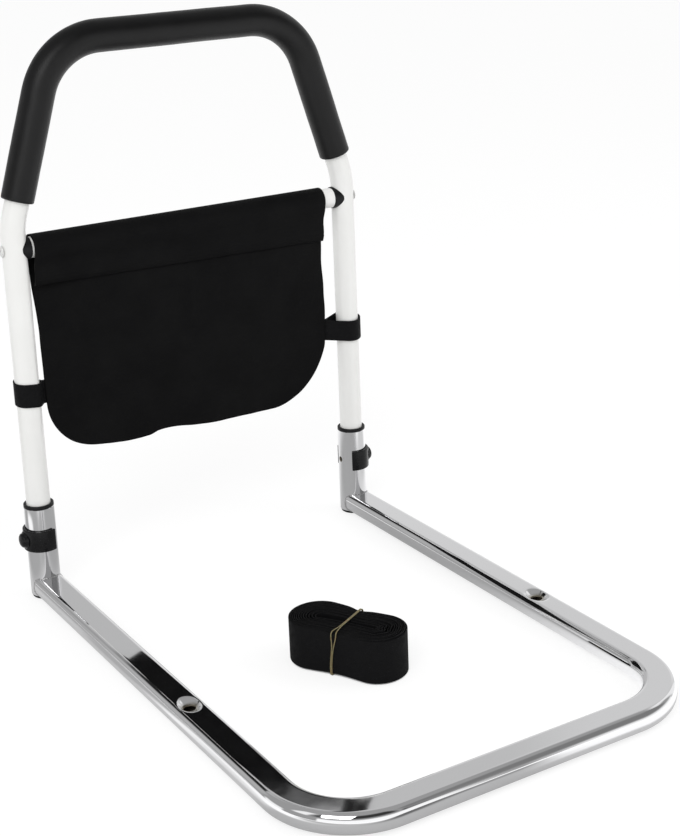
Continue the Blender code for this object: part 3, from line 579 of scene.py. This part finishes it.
def make_weld(side, sign):
    """A rippled bead where the arm's end meets its socket."""
    sink = 0.0006
    outline = flat_oval(TUBE_WIDTH - sink, TUBE_HEIGHT - sink, TUBE_FLAT, 40, 20)
    reach = np.sqrt(np.maximum(SOCKET_RADIUS**2 - outline[:, 0] ** 2, ARM_SETBACK**2))
    line = points_of(outline[:, 0], -reach, outline[:, 1])
    closed = np.concatenate([line, line[:1]])
    lengths = run_lengths(closed)
    steps = np.linspace(0, lengths[-1], 241)[:-1]
    line = at_lengths(closed, lengths, steps)
    along = unit(np.roll(line, -1, 0) - np.roll(line, 1, 0))
    away = line * [1, 0, 1]
    away = unit(away - along * (away * along).sum(1)[:, None])
    side_way = np.cross(along, away)
    size = 0.0010 + 0.00012 * np.sin(steps * 2 * math.pi / 0.0026)
    size += 0.0002 * ripple(line, 0.012, 5)
    ring = circle(1.0, 16)
    round_line = away[:, None] * ring[:, :1] + side_way[:, None] * ring[:, 1:]
    points = line[:, None] + round_line * size[:, None, None]
    points = points * [sign, 1, 1] + [sign * UPRIGHT_X, UPRIGHT_Y, BASE_AXIS]
    points[..., 2] = np.maximum(points[..., 2], 0.0026)
    bead = add_grid(f"{side}_weld", points, "base", ("weld",), wrap_rows=True)


def make_clips():
    """A spring clip round each socket, with its knob outside and its peg inside."""
    half_angle = math.radians(122)
    rounding = 0.0013 / CLIP_RADIUS
    ends = np.array([0.0, 0.12, 0.35, 0.7, 1.0]) * rounding
    middle = np.linspace(-half_angle + 0.1, half_angle - 0.1, 88)
    turns = np.concatenate([ends - half_angle, middle, (half_angle - ends)[::-1]])
    round_end = np.minimum(half_angle - np.abs(turns), rounding) / rounding
    shape = np.sqrt(np.clip(1 - (1 - round_end) ** 2, 0.02, 1))
    section = rounded_rectangle(0.003, 0.023, 0.0008)
    radial = CLIP_RADIUS + section[None, :, 0] * (0.35 + 0.65 * shape[:, None])
    height = section[None, :, 1] * (0.94 + 0.06 * shape[:, None])
    turns = turns[:, None]
    points = points_of(radial * np.cos(turns), radial * np.sin(turns), height)
    stud = [
        (0.0022, 0.0080), (0.0030, 0.0088), (0.0030, 0.0178), (0.0097, 0.0178),
        (0.0096, 0.0188), (0.0090, 0.0195), (0.0082, 0.0201), (0.00775, 0.0206),
        (0.00775, 0.0214), (0.0075, 0.0221), (0.0067, 0.0229), (0.0054, 0.0237),
        (0.0038, 0.0242), (0.0020, 0.0245),
    ]
    for side, sign in SIDES:
        place = (sign * UPRIGHT_X, UPRIGHT_Y, PIN_HEIGHTS[0])
        band = add_grid(f"{side}_clip_band", points * [sign, sign, 1] + place,
                        f"{side}_clip", ("gloss_black_plastic",), caps=True)
        knob = add_turned(f"{side}_clip_knob", stud, f"{side}_clip", ("gloss_black_plastic",),
                          place, sign, "x", 64, sharp=30)
        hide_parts(f"{side}_locking_clip")


# Handrail

def rail_path(start, run_step=0.006):
    """The handrail's centreline from a height on the left to that on the right."""
    if start < BEND_HEIGHT:
        left = [(-UPRIGHT_X, start), (-UPRIGHT_X, BEND_HEIGHT), (-TOP_X, TOP_HEIGHT)]
        radii = [BEND_RADIUS, TOP_RADIUS]
    else:
        share = (start - BEND_HEIGHT) / (TOP_HEIGHT - BEND_HEIGHT)
        left = [(-UPRIGHT_X + (UPRIGHT_X - TOP_X) * share, start), (-TOP_X, TOP_HEIGHT)]
        radii = [TOP_RADIUS]
    corners = left + [(-x, z) for x, z in left[::-1]]
    corners = [(x, UPRIGHT_Y, z) for x, z in corners]
    return path_through(corners, radii + radii[::-1], ALONG_Y, run_step=run_step)


def make_handrail():
    """The bent tube with its holes for the pegs and the crossbar's screws."""
    path = rail_path(RAIL_END)
    outer = sweep(circle(RAIL_RADIUS, 72), *path, ALONG_Y)
    inner = sweep(circle(RAIL_BORE, 72), *path, ALONG_Y)
    rail = add_tube("handrail_tube", outer, inner, "handrail", ("white_paint", "bare_steel"))
    outside = 0.24
    holes = [(height, UPRIGHT_X) for height in PIN_HEIGHTS]
    cutters = []
    for height, start in holes + [(CROSSBAR_HEIGHT, UPRIGHT_X - 0.03)]:
        place = (0, UPRIGHT_Y, height)
        cutters.append(rod(PIN_RADIUS, start, outside, place, "x", 40))
        cutters.append(rod(PIN_RADIUS, -outside, -start, place, "x", 40))
    cut(rail, cutters)
    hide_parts("upper_rail")


def make_crossbar():
    """The pocket's bar, with its saddles round the uprights and its button screws."""
    profile = [(CROSSBAR_RADIUS, -CROSSBAR_HALF), (CROSSBAR_RADIUS, CROSSBAR_HALF),
               (CROSSBAR_BORE, CROSSBAR_HALF), (CROSSBAR_BORE, -CROSSBAR_HALF)]
    crossbar = add_turned("crossbar_tube", profile, "handrail", ("white_paint", "bare_steel"),
                          (0, UPRIGHT_Y, CROSSBAR_HEIGHT), axis="x", hollow=True,
                          row_slots=[0, 0, 1, 0])
    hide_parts("crossbar")
    for side, sign in SIDES:
        place = (sign * UPRIGHT_X, UPRIGHT_Y, CROSSBAR_HEIGHT)
        saddle = add_turned(f"{side}_saddle", [
            (0.0113, -0.0155), (0.0117, -0.0153), (0.0120, -0.0149), (0.0121, -0.0144),
            (0.0121, -0.0048),
        ], "handrail", ("black_plastic",), place, sign, "x", sharp=35)
        room = sweep(circle(RAIL_RADIUS + FIT_GAP, 96), *rail_path(RAIL_END, 0.01), ALONG_Y)
        upright = len(room) // 3
        room = room[:upright] if sign < 0 else room[-upright:]
        cutter = add_grid("room", room, None, (None,), caps=True)
        cut(saddle, [cutter, rod(PIN_RADIUS, -0.02, 0.02, place, "x", 40, 0)], 35)
        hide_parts(f"{side}_saddle_cap")

        screw = add_turned(f"{side}_button_screw", [
            (0.0021, -0.0290), (0.0030, -0.0281), (0.0030, 0.0130), (0.0058, 0.0130),
            (0.0060, 0.01315), (0.0060, 0.0135), (0.0058, 0.0139), (0.0052, 0.01425),
            (0.0042, 0.0145), (0.0030, 0.0146),
        ], "handrail", ("white_screw",), place, sign, "x", 64, sharp=30)
        hexagon = rod(0.0023, 0.0135, 0.02, (0, 0, 0), "x", 6, 0)
        hexagon.data.transform(Matrix.Translation(place) @ Matrix.Diagonal((sign, 1, 1, 1)))
        cut(screw, [hexagon], 30)
        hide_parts(f"{side}_crossbar_screw")


def make_grip():
    """A foam sleeve with rounded ends, slightly uneven."""
    rounding = 0.0020
    places, directions = rail_path(GRIP_START, 0.004)
    lengths = run_lengths(places)
    ends = np.array([0.0002, 0.0005, 0.0009, 0.0014, rounding])
    stations = np.sort(np.concatenate([lengths, ends, lengths[-1] - ends]))
    places = at_lengths(places, lengths, stations)
    directions = unit(at_lengths(directions, lengths, stations))
    distance = np.minimum(stations, stations[-1] - stations)
    drop = rounding - np.sqrt(rounding**2 - np.clip(rounding - distance, 0, rounding) ** 2)
    ring = circle(1.0, 96)
    outer = sweep((GRIP_RADIUS - drop)[:, None, None] * ring, places, directions, ALONG_Y)
    away = unit(outer - places[:, None])
    uneven = 0.00012 * ripple(outer, 0.045, 3) + 0.00005 * ripple(outer, 0.012, 4)
    outer += away * uneven[..., None]
    inner = sweep(GRIP_BORE * ring, places, directions, ALONG_Y)
    grip = add_tube("grip_sleeve", outer, inner, "handrail", ("black_foam",))
    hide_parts("foam_grip")


# Pocket. Its cloth lies in the plane UPRIGHT_Y + CLOTH_PLANE. The tables hold swells: their
# height, place and width.

CLOTH_PLANE = -0.0015
CLOTH_THICKNESS = 0.0010
CLOTH_WIDTH = 0.343
PANEL_HEIGHT = 0.1945
PANEL_OVERLAP = 0.010
POUCH_INSET = 0.014
POUCH_TOP = 0.166
STRAP_THICKNESS = 0.0012
STRAP_GAP = 0.0003
BOTTOM_SWELLS = (
    (0.0022, -0.133, 0.022), (-0.0034, -0.082, 0.026), (-0.0014, -0.020, 0.020),
    (-0.0012, 0.060, 0.045), (-0.0013, 0.085, 0.040),
)
RIGHT_EDGE_SWELLS = ((0.0020, 0.095, 0.050), (-0.0010, 0.033, 0.018))
FLAP_SWELLS = ((0.0016, 0.009, 0.008), (-0.0011, 0.025, 0.010))
CREASES = ((0.0011, -0.002, 0.0055), (-0.0010, 0.008, 0.009))
SLANTED_FOLDS = ((-0.0010, 0.0, 0.006), (0.0010, -0.014, 0.009))


def hem_height(x):
    """The lower edge of the flap."""
    return 0.3365 - 0.018 * x


def corner_inset(height, radius, power=2.0):
    """How far a rounded lower corner draws an edge in at a height above the bottom."""
    room = np.clip(radius - height, 0, radius) / radius
    return radius * (1 - (1 - room**power) ** (1 / power))


def panel_frame(across, share):
    """Where on the flat panel a point lies, from its shares of the width and the height."""
    height = PANEL_HEIGHT * share
    below = PANEL_HEIGHT - height
    left = -0.1785 + below * 0.020 + corner_inset(height, 0.056)
    right = 0.1640 - below * 0.020 - corner_inset(height, 0.064, 1.58)
    right += swells(below, RIGHT_EDGE_SWELLS)
    x = left + (right - left) * across
    bottom = 0.1512 - 0.0175 * x + swells(x, BOTTOM_SWELLS)
    bottom += 0.0045 * bump(x + 0.030, 0.030) * ease(x, -0.062, -0.050)
    top = hem_height(x) + PANEL_OVERLAP
    return x, bottom + (top - bottom) * share


def panel_relief(x, z, share):
    """How far the cloth stands towards the front, with its folds and its loose waves."""
    spot = points_of(x, z)
    calm = ease(1 - share, 0.0, 0.12)
    creases = swells(x, CREASES) * ease(z, 0.245, 0.285)
    line = 0.262 - 0.21 * np.clip(-0.060 - x, 0, 0.2)
    slanted = ease(x, -0.150, -0.060) * ease(-x, -0.060, -0.010)
    slanted *= swells(z - line, SLANTED_FOLDS)
    dent = 0.0012 * bump(np.hypot(x - 0.068, z - 0.210), 0.0045)
    low = ease(0.205 - z, 0.0, 0.045)
    wave = 0.0035 * low * np.sin((x + 0.035) / 0.150 * 2 * math.pi)
    sag = 0.0022 * np.sin(math.pi * share) * np.cos((x + 0.005) / 0.36 * math.pi)
    loose = 0.0011 * ripple(spot * [1.0, 0.7], 0.075, 11)
    loose += 0.00035 * ripple(spot, 0.024, 12)
    hang = 0.0090 * ease(-x, 0.120, 0.178) * ease(z, 0.290, 0.352)
    return calm * (creases + slanted + wave + sag + loose) + dent - hang


def add_cloth(name, rows, across):
    """A cloth of rows of points, with half of its thickness on each side of them."""
    points = np.array(rows)
    along = run_lengths(points[:, points.shape[1] // 2])
    points[..., 1] += UPRIGHT_Y
    cloth = add_grid(name, points, "handrail", ("black_cloth",), wrap_columns=False,
                     uv=(along, across), sharp=60)
    modifier = cloth.modifiers.new("thickness", "SOLIDIFY")
    modifier.thickness = CLOTH_THICKNESS
    modifier.offset = 0.0
    return cloth


def make_panel():
    """One sheet: the flap's hem, up and over the crossbar, down behind it and on to the bottom."""
    columns = np.linspace(0, 1, 281)
    loop = CROSSBAR_RADIUS + 0.0019
    flap_plane = CLOTH_PLANE - 0.0017
    sleeve = -0.178 + CLOTH_WIDTH * columns
    hem_drop = CROSSBAR_HEIGHT - hem_height(0)
    front = touch_angle(hem_drop, flap_plane, loop)
    back = 2 * math.pi + touch_angle(hem_drop - PANEL_OVERLAP, -CLOTH_PLANE, loop)
    turns = np.linspace(front, -back, 49)
    over = points_of(loop * np.sin(turns), CROSSBAR_HEIGHT - loop * np.cos(turns))
    hems = points_of(sleeve, flap_plane, hem_height(sleeve))
    first = points_of(sleeve, *over[0])
    rows = []
    for share in np.linspace(0, 1, 41)[:-1]:
        row = hems + (first - hems) * share
        rise = share * 0.044
        belly = swells(rise, FLAP_SWELLS)
        edge = 0.0007 * (1 - ease(rise, 0.0068, 0.0082)) * ease(rise, -0.0005, 0.0012)
        wave = 0.0008 * ripple(row[:, [0, 2]] * [1.0, 2.5], 0.085, 21)
        row[:, 1] -= ease(1 - share, 0.0, 0.3) * (belly + edge + wave)
        rows.append(row)
    rows += [points_of(sleeve, y, z) for y, z in over]
    hanging = []
    for share in np.concatenate([np.linspace(1, 0.08, 96), np.linspace(0.08, 0, 24)[1:]]):
        x, z = panel_frame(columns, share)
        hanging.append(points_of(x, CLOTH_PLANE - panel_relief(x, z, share), z))
    last, top = rows[-1], hanging[0]
    rows += [last + (top - last) * share for share in np.linspace(0, 1, 13)[1:-1]]
    panel = add_cloth("pocket_cloth", rows + hanging, sleeve - sleeve[0])
    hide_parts("pocket_panel")


def make_pouch():
    """The bellied sheet behind the panel, hemmed at its open top."""
    columns = np.linspace(0, 1, 161)
    bottom = POUCH_INSET / PANEL_HEIGHT
    rows = []
    for share in np.linspace(bottom, POUCH_TOP / PANEL_HEIGHT, 91):
        width = np.ptp(panel_frame(np.array([0.0, 1.0]), share)[0])
        inset = POUCH_INSET / width
        across = inset + (1 - 2 * inset) * columns
        x, z = panel_frame(across, share)
        side = np.minimum(across - inset, 1 - inset - across) * width
        above = (share - bottom) * PANEL_HEIGHT
        belly = ease(side, 0, 0.022) * ease(above, 0, 0.022)
        sag = 0.0125 * belly * (0.86 + 0.14 * np.cos((x + 0.006) / 0.32 * math.pi))
        loose = 0.0006 * belly * ripple(points_of(x, z), 0.05, 31)
        hem = 0.0005 * ease(above, 0.1405, 0.1420)
        flat = CLOTH_PLANE - panel_relief(x, z, share) * (1 - belly)
        rows.append(points_of(x, flat + 0.0017 + sag + loose + hem, z))
    pouch = add_cloth("pouch_cloth", rows, run_lengths(rows[len(rows) // 2]))
    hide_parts("pocket_pouch")


def strip(outline, section):
    """Sections of a strip that stands on its edge along a line in the ground plane."""
    longer = np.concatenate([outline[:1], outline, outline[-1:]])
    along = unit(longer[2:] - longer[:-2])
    away = points_of(along[:, 1], -along[:, 0])
    flat = outline[:, None] + away[:, None] * section[:, :1]
    return points_of(flat[..., 0], flat[..., 1], section[:, 1])


def add_webbing(name, points, line, section, body):
    """A strap from its sections along a line, and its length."""
    along = run_lengths(line)
    across = np.append(section[:, 1], section[0, 1]) - section[:, 1].min()
    strap = add_grid(name, points, body, ("black_webbing",), caps=True, uv=(along, across))
    return strap, float(along[-1])


def make_pocket_strap(side, sign, edge_x, height, slack, tilt, sink, width):
    """A strap from the pocket's edge, round its upright and back behind the panel.

    slack widens its loop, tilt lifts the loop's back, and sink lowers the end at the pocket.
    """
    edge = UPRIGHT_X - edge_x
    mouth = edge - 2 * STRAP_THICKNESS
    tail = edge + 0.011
    loop = RAIL_RADIUS + STRAP_GAP + slack + STRAP_THICKNESS / 2
    front = CLOTH_PLANE + (0.0014 + STRAP_THICKNESS) / 2 + STRAP_GAP
    back = front + STRAP_THICKNESS + STRAP_GAP
    start = touch_angle(mouth, front, loop)
    end = -2 * math.pi - touch_angle(mouth, -back, loop)
    turns = np.linspace(start, end, 72)
    outline = np.concatenate([
        [(tail, front), (tail - 0.004, front), (mouth, front)],
        loop * points_of(np.cos(turns), np.sin(turns)),
        [(mouth, back), (tail - 0.004, back), (tail, back)],
    ])
    section = rounded_rectangle(STRAP_THICKNESS, width, 0.0005)
    points = strip(outline, section)
    points[..., 2] -= sink * ease(points[..., 0], -0.004, 0.020)
    points[..., 2] += tilt * points[..., 1] / loop
    points[..., 0] *= -sign
    points += [sign * UPRIGHT_X, UPRIGHT_Y, height]
    strap, length = add_webbing(f"{side}_side_strap", points, outline, section, "handrail")
    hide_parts(f"{side}_pocket_strap")


# Safety strap

BUNDLE_PLACE = np.array([-0.0140, UPRIGHT_Y - 0.3251, 0.0])
BUNDLE_TURN = math.radians(-60.9)
WINDS = 12
WIND_RADIUS = 0.032
WIND_REACH = 0.03025
WEB_WIDTH = 0.0435
WEB_THICKNESS = 0.0012
WEB_LOW = 0.0013
WEB_RISE = 0.0012


def winding(turns):
    """The wound webbing's middle line, from its outer end inwards, counted in turns."""
    radius = WIND_RADIUS - WEB_THICKNESS / 2 - 0.00175 * turns - 0.0078 * (turns / WINDS) ** 3
    side_length = 2 * WIND_REACH
    mean_arc = math.pi * 0.022
    half = side_length + mean_arc
    place = (turns + 0.375) % 1.0 * 2 * half
    sign = np.where(place < half, 1.0, -1.0)
    place = place % half
    on_arc = place < mean_arc
    angle = math.pi * (place / mean_arc - 0.5)
    run = (place - mean_arc) / side_length
    x = np.where(on_arc, WIND_REACH + radius * np.cos(angle), WIND_REACH * (1 - 2 * run))
    y = np.where(on_arc, radius * np.sin(angle), radius)
    y = y - np.copysign(0.0035 * bump(x, 0.030) * radius / 0.0314, y)
    return points_of(sign * x, sign * y), np.where(on_arc, angle, 0.0) * sign, sign


def put_in_place(points):
    """Turn the bundle's points about Z and move them to its place."""
    cos, sin = math.cos(BUNDLE_TURN), math.sin(BUNDLE_TURN)
    points[..., :2] = points[..., :2] @ np.array([[cos, sin], [-sin, cos]])
    return points + BUNDLE_PLACE


def make_safety_strap():
    """The webbing, wound inwards from its outer end, with looser turns inside."""
    turns = np.linspace(0, WINDS, WINDS * 132 + 1)
    line, angle, sign = winding(turns)
    right_end = (line[:, 0] > 0.0303) & (np.abs(angle) > 0)
    folds = 0.0018 * (turns / WINDS) ** 2 * np.sin(6 * angle) * np.cos(angle) ** 0.5 * right_end
    line -= (sign * folds)[:, None] * points_of(np.cos(angle), np.sin(angle))
    section = rounded_rectangle(WEB_THICKNESS, WEB_WIDTH, 0.0005, 3)
    section[:, 1] += WEB_WIDTH / 2
    points = strip(line, section)
    rise = WEB_RISE / 2 * (1 + ripple(points_of(turns * 0.5, line[:, 0] * 12), 1.0, 41))
    pressed = 0.0030 * bump(line[:, 0], 0.009) * np.exp(-turns / 1.3)
    points[..., 2] -= pressed[:, None] * (points[..., 2] > WEB_WIDTH / 2)
    points[..., 2] += WEB_LOW + np.clip(rise, 0, WEB_RISE)[:, None]
    points = put_in_place(points)
    strap, length = add_webbing("wound_strap", points, line, section, "strap_bundle")
    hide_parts("safety_strap")


def make_rubber_band():
    """A band twice round the waist, whose strands part at the front's upper edge."""
    half_thickness = 0.00035
    outermost, _, _ = winding(np.linspace(0, 1, 400))
    waist = outermost[np.abs(outermost[:, 0]) < 0.0075][:, 1]
    spare = WEB_THICKNESS / 2 + 0.0003 + half_thickness
    behind = waist.max() + spare
    before = waist.min() - spare
    low = 0.00065
    high = WEB_LOW + WEB_WIDTH + WEB_RISE + half_thickness
    middle = (0, behind, (low + high) / 2)
    corners = [middle, (0, behind, high), (0, before, high), (0, before, low), (0, behind, low),
               middle]
    places, directions = path_through(corners, [0.0036, 0.0036, 0.0012, 0.0012], -ALONG_X,
                                      math.radians(12), 0.0012)
    place = np.concatenate([places[:-1]] * 2)
    away = np.cross(np.concatenate([directions[:-1]] * 2), ALONG_X)
    turn = 2 * np.arange(len(place)) / len(place)
    swing = np.sin(math.pi * turn)
    side = swing / np.hypot(swing, math.pi * 0.03)
    front_top = np.array([0, before, high - 0.003])
    splay = 0.0040 * bump(np.linalg.norm(place - front_top, axis=1), 0.0095)
    lift = 0.0016 * bump(turn - 1, 0.06)
    slant = -0.0038 * ease(high - place[:, 2], 0, 0.04) * (place[:, 1] < 0)
    sideways = side * (0.0013 + splay) / 2 + slant
    centre = place + away * lift[:, None] + ALONG_X * sideways[:, None]
    ring = circle(1.0, 12) * [0.00062, 0.00036]
    points = centre[:, None] + ALONG_X * ring[:, :1] + away[:, None] * ring[:, 1:]
    points = put_in_place(points)
    points[..., 2] = np.maximum(points[..., 2], 0.0001)
    band = add_grid("elastic_band", points, "strap_bundle", ("yellow_rubber",), wrap_rows=True)
    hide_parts("rubber_band")


# Camera, floor and light

def add_camera():
    """The photograph's viewpoint, fitted to its edges."""
    data = bpy.data.cameras.new("camera")
    data.lens = 71.4
    data.sensor_width = 36.0
    data.shift_y = -0.1053
    data.clip_start = 0.05
    data.clip_end = 60.0
    camera = add_object("camera", data)
    place = (-0.75564, -1.28157, 0.76679)
    forward = Vector((0.49312, 0.82213, -0.28450)).normalized()
    roll = Matrix.Rotation(math.radians(-2.25), 4, "Z")
    right = forward.cross(Vector((0, 0, 1))).normalized()
    turn = Matrix((right, right.cross(forward), -forward)).transposed().to_4x4()
    camera.matrix_world = Matrix.Translation(place) @ turn @ roll
    bpy.context.scene.camera = camera


# How bright the studio is in the metal, in smooth areas. Floor: brightness, x, y, half length
# and half width in metres, turn in degrees. Walls: brightness, from and to which bearing, its
# softness, from and to which height, its softness, in degrees. Bearings run from +Y towards
# +X, and in REAR_AREAS from -Y towards -X.
FLOOR_BRIGHTNESS = 1.10
FLOOR_AREAS = (
    (0.42, -0.38, 0.30, 0.28, 0.16, 0),
    (0.44, -0.75, 0.80, 0.35, 0.30, 0),
    (0.42, 0.02, 0.15, 0.32, 0.22, 0),
    (0.50, -0.38, -0.36, 0.09, 0.26, 0),
    (0.52, -0.27, 0.13, 0.06, 0.05, 0),
    (1.05, -0.41, 0.32, 0.08, 0.035, 0),
    (0.68, 0.38, 0.14, 0.14, 0.15, 0),
    (0.33, 0.02, -0.42, 0.10, 0.06, 26),
    (0.14, 0.10, -0.78, 0.66, 0.075, 26),
    (0.46, -0.26, 0.10, 0.10, 0.05, 0),
)
WALL_BRIGHTNESS = 0.38
WALL_AREAS = (
    (0.56, -18, 25, 6, -20, 50, 6),
    (0.72, 25, 68, 6, -20, 46, 10),
    (0.84, 28, 68, 5, -20, 22, 6),
    (0.60, 25, 38.5, 2, 28, 40, 4),
    (1.00, 70, 90, 4, -20, 48, 6),
    (1.10, -72, -46, 3, -20, 12, 4),
    (0.23, 104, 149, 5, 15, 50, 6),
    (1.10, 92, 147, 2, -20, 9, 7),
    (0.95, 84, 104, 5, 33, 47, 5),
    (0.10, 149.5, 154, 1, -10, 31, 3),
    (1.05, -98, -79, 3, 27, 56, 4),
    (0.50, -40, -30, 3, 4, 30, 6),
    (0.08, 26.5, 30.8, 1, 30.4, 32.8, 0.6),
    (0.02, 26.5, 28.2, 0.3, 30.4, 32.8, 0.6),
)
REAR_AREAS = (
    (0.04, -22, 76, 6, 30, 60, 7),
    (1.20, -30, 68, 1.5, -8, 19, 5),
)
WHITE_GLOW = 0.745
SOFT_LIGHT = 0.75


def base_distance(ground, x, y):
    """How far a point of the floor lies outside the base tube's middle line."""
    corner_x = UPRIGHT_X - CORNER_RADIUS
    corner_y = UPRIGHT_Y - ARM_LENGTH + CORNER_RADIUS
    across = ground.count("MAXIMUM", ground.minus(ground.count("ABSOLUTE", x), corner_x), 0.0)
    along = ground.count("MAXIMUM", ground.minus(corner_y, y), 0.0)
    return ground.minus(ground.count("SQRT", ground.squares(across, along)), CORNER_RADIUS)


def floor_brightness(ground, x, y):
    """How bright the floor is in the metal, with a painted contact shadow: a darker band close
    round the base, and a wider one by the front bar's left half.
    """
    table = FLOOR_BRIGHTNESS
    for value, *place, length, width, turn in FLOOR_AREAS:
        away = ground.distance((*place, 0), (width, length, 1), math.radians(turn))
        table = ground.paint(table, value, ground.fall(away, 0.6, 1.4))
    # Painted shadow: the floor's brightness in the metal drops close round the base, and more
    # widely in front of the front bar's left half.
    away = base_distance(ground, x, y)
    outside = ground.rise(away, -0.010, 0.005)
    table = ground.paint(table, 0.62, ground.times(outside, ground.fall(away, 0.022, 0.034)))
    front = ground.times(ground.fall(y, -0.23, -0.17), ground.fall(x, -0.02, 0.10))
    wide = ground.times(outside, ground.fall(away, 0.045, 0.080))
    return ground.paint(table, 0.50, ground.times(front, wide))


def strap_slots(ground, x, y):
    """1 on the floor in the slots between the wound strap's turns, where no light gets in."""
    away = [ground.minus(*pair) for pair in zip((x, y), BUNDLE_PLACE.tolist())]
    near = ground.fall(ground.squares(*away), 0.058**2, 0.070**2)
    open_share = ground.add("AmbientOcclusion", "AO", {"Distance": 0.03}, samples=8)
    return ground.times(near, ground.fall(open_share, 0.04, 0.30))


def add_floor():
    """A wide white floor that keeps the part's soft shadow."""
    ground = Finish("floor")
    ground.tree.nodes.remove(ground.shader)
    kinds, seen = ground.rays()
    x, y, _ = ground.parts(ground.spot())
    table = floor_brightness(ground, x, y)
    mirrored = ground.times(kinds["Is Glossy Ray"], ground.times(table, 0.47))
    seen = ground.times(seen, ground.minus(1.0, strap_slots(ground, x, y)))
    glow = ground.count("MULTIPLY_ADD", seen, WHITE_GLOW, mirrored)
    share = ground.mix(kinds["Is Diffuse Ray"], (0.30, 0.30, 0.30), (0.80, 0.80, 0.80))
    share = ground.mix(kinds["Is Glossy Ray"], share, ground.times(table, 0.65))
    lit = ground.add("BsdfDiffuse", 0, {"Color": share})
    white = ground.add("Emission", 0, {"Strength": glow})
    both = ground.add("AddShader", 0, {0: lit, 1: white})
    ground.put(ground.tree.nodes["Material Output"], "Surface", both)
    corners = [(-20, -20, 0), (20, -20, 0), (20, 20, 0), (-20, 20, 0)]
    floor = add_mesh("floor", corners, [(0, 1, 2, 3)], None, ("floor",))


def add_world():
    """White to the camera, soft light for the piece, and a plain studio in the metal."""
    world = bpy.data.worlds.new("studio")
    world.use_nodes = True
    bpy.context.scene.world = world
    sky = Nodes(world.node_tree)
    kinds, seen = sky.rays()
    x, y, z = sky.parts(sky.spot("Generated"))

    def degrees(value):
        return sky.times(value, math.degrees(1))

    height = degrees(sky.count("ARCSINE", z))
    bearing = degrees(sky.count("ARCTAN2", x, y))
    behind = degrees(sky.count("ARCTAN2", sky.times(x, -1.0), sky.times(y, -1.0)))
    studio = WALL_BRIGHTNESS
    for turn, areas in ((bearing, WALL_AREAS), (behind, REAR_AREAS)):
        for value, start, end, soft, low, high, blur in areas:
            wide = sky.window(turn, start, end, soft)
            share = sky.times(wide, sky.window(height, low, high, blur))
            studio = sky.paint(studio, value, share)
    dark = sky.times(sky.window(bearing, -26, 4, 3), sky.window(y, 0.735, 0.822, 0.006))
    studio = sky.paint(studio, 0.02, sky.times(dark, sky.rise(height, 18, 24)))
    glossy = kinds["Is Glossy Ray"]
    soft = sky.minus(sky.minus(1.0, seen), glossy)
    strength = sky.count("MULTIPLY_ADD", glossy, studio, seen)
    strength = sky.count("MULTIPLY_ADD", soft, SOFT_LIGHT, strength)
    back = world.node_tree.nodes["Background"]
    sky.put(back, "Color", (1.0, 1.0, 1.0))
    sky.put(back, "Strength", strength)


def add_lamp(name, place, size, power, mirrored=True):
    """A square soft box that looks at the part. The metal may mirror it or not."""
    data = bpy.data.lights.new(name, "AREA")
    data.energy = power
    data.size = size
    lamp = add_object(name, data)
    lamp.visible_glossy = mirrored
    lamp.location = place
    forward = Vector((0, 0, 0.25)) - Vector(place)
    lamp.rotation_euler = forward.to_track_quat("-Z", "Y").to_euler()


make_finishes()
make_base()
make_sockets()
make_clips()
make_handrail()
make_grip()
make_crossbar()
make_panel()
make_pouch()
make_pocket_strap("left", -1, 0.1761, 0.2285, slack=0.0, tilt=0.001, sink=0.0038, width=0.025)
make_pocket_strap("right", 1, 0.1632, 0.2274, slack=0.0012, tilt=0.0025, sink=0.0, width=0.0238)
make_safety_strap()
make_rubber_band()
for side, _ in SIDES:
    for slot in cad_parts[f"{side}_threaded_insert"].material_slots:
        slot.material = FINISHES["black_plastic"]

add_camera()
add_floor()
add_world()
add_lamp("key", (-1.6, -1.5, 2.0), 1.4, 26)
add_lamp("fill", (1.9, -0.9, 1.5), 1.2, 9, mirrored=False)

bpy.context.scene.view_settings.view_transform = "Standard"
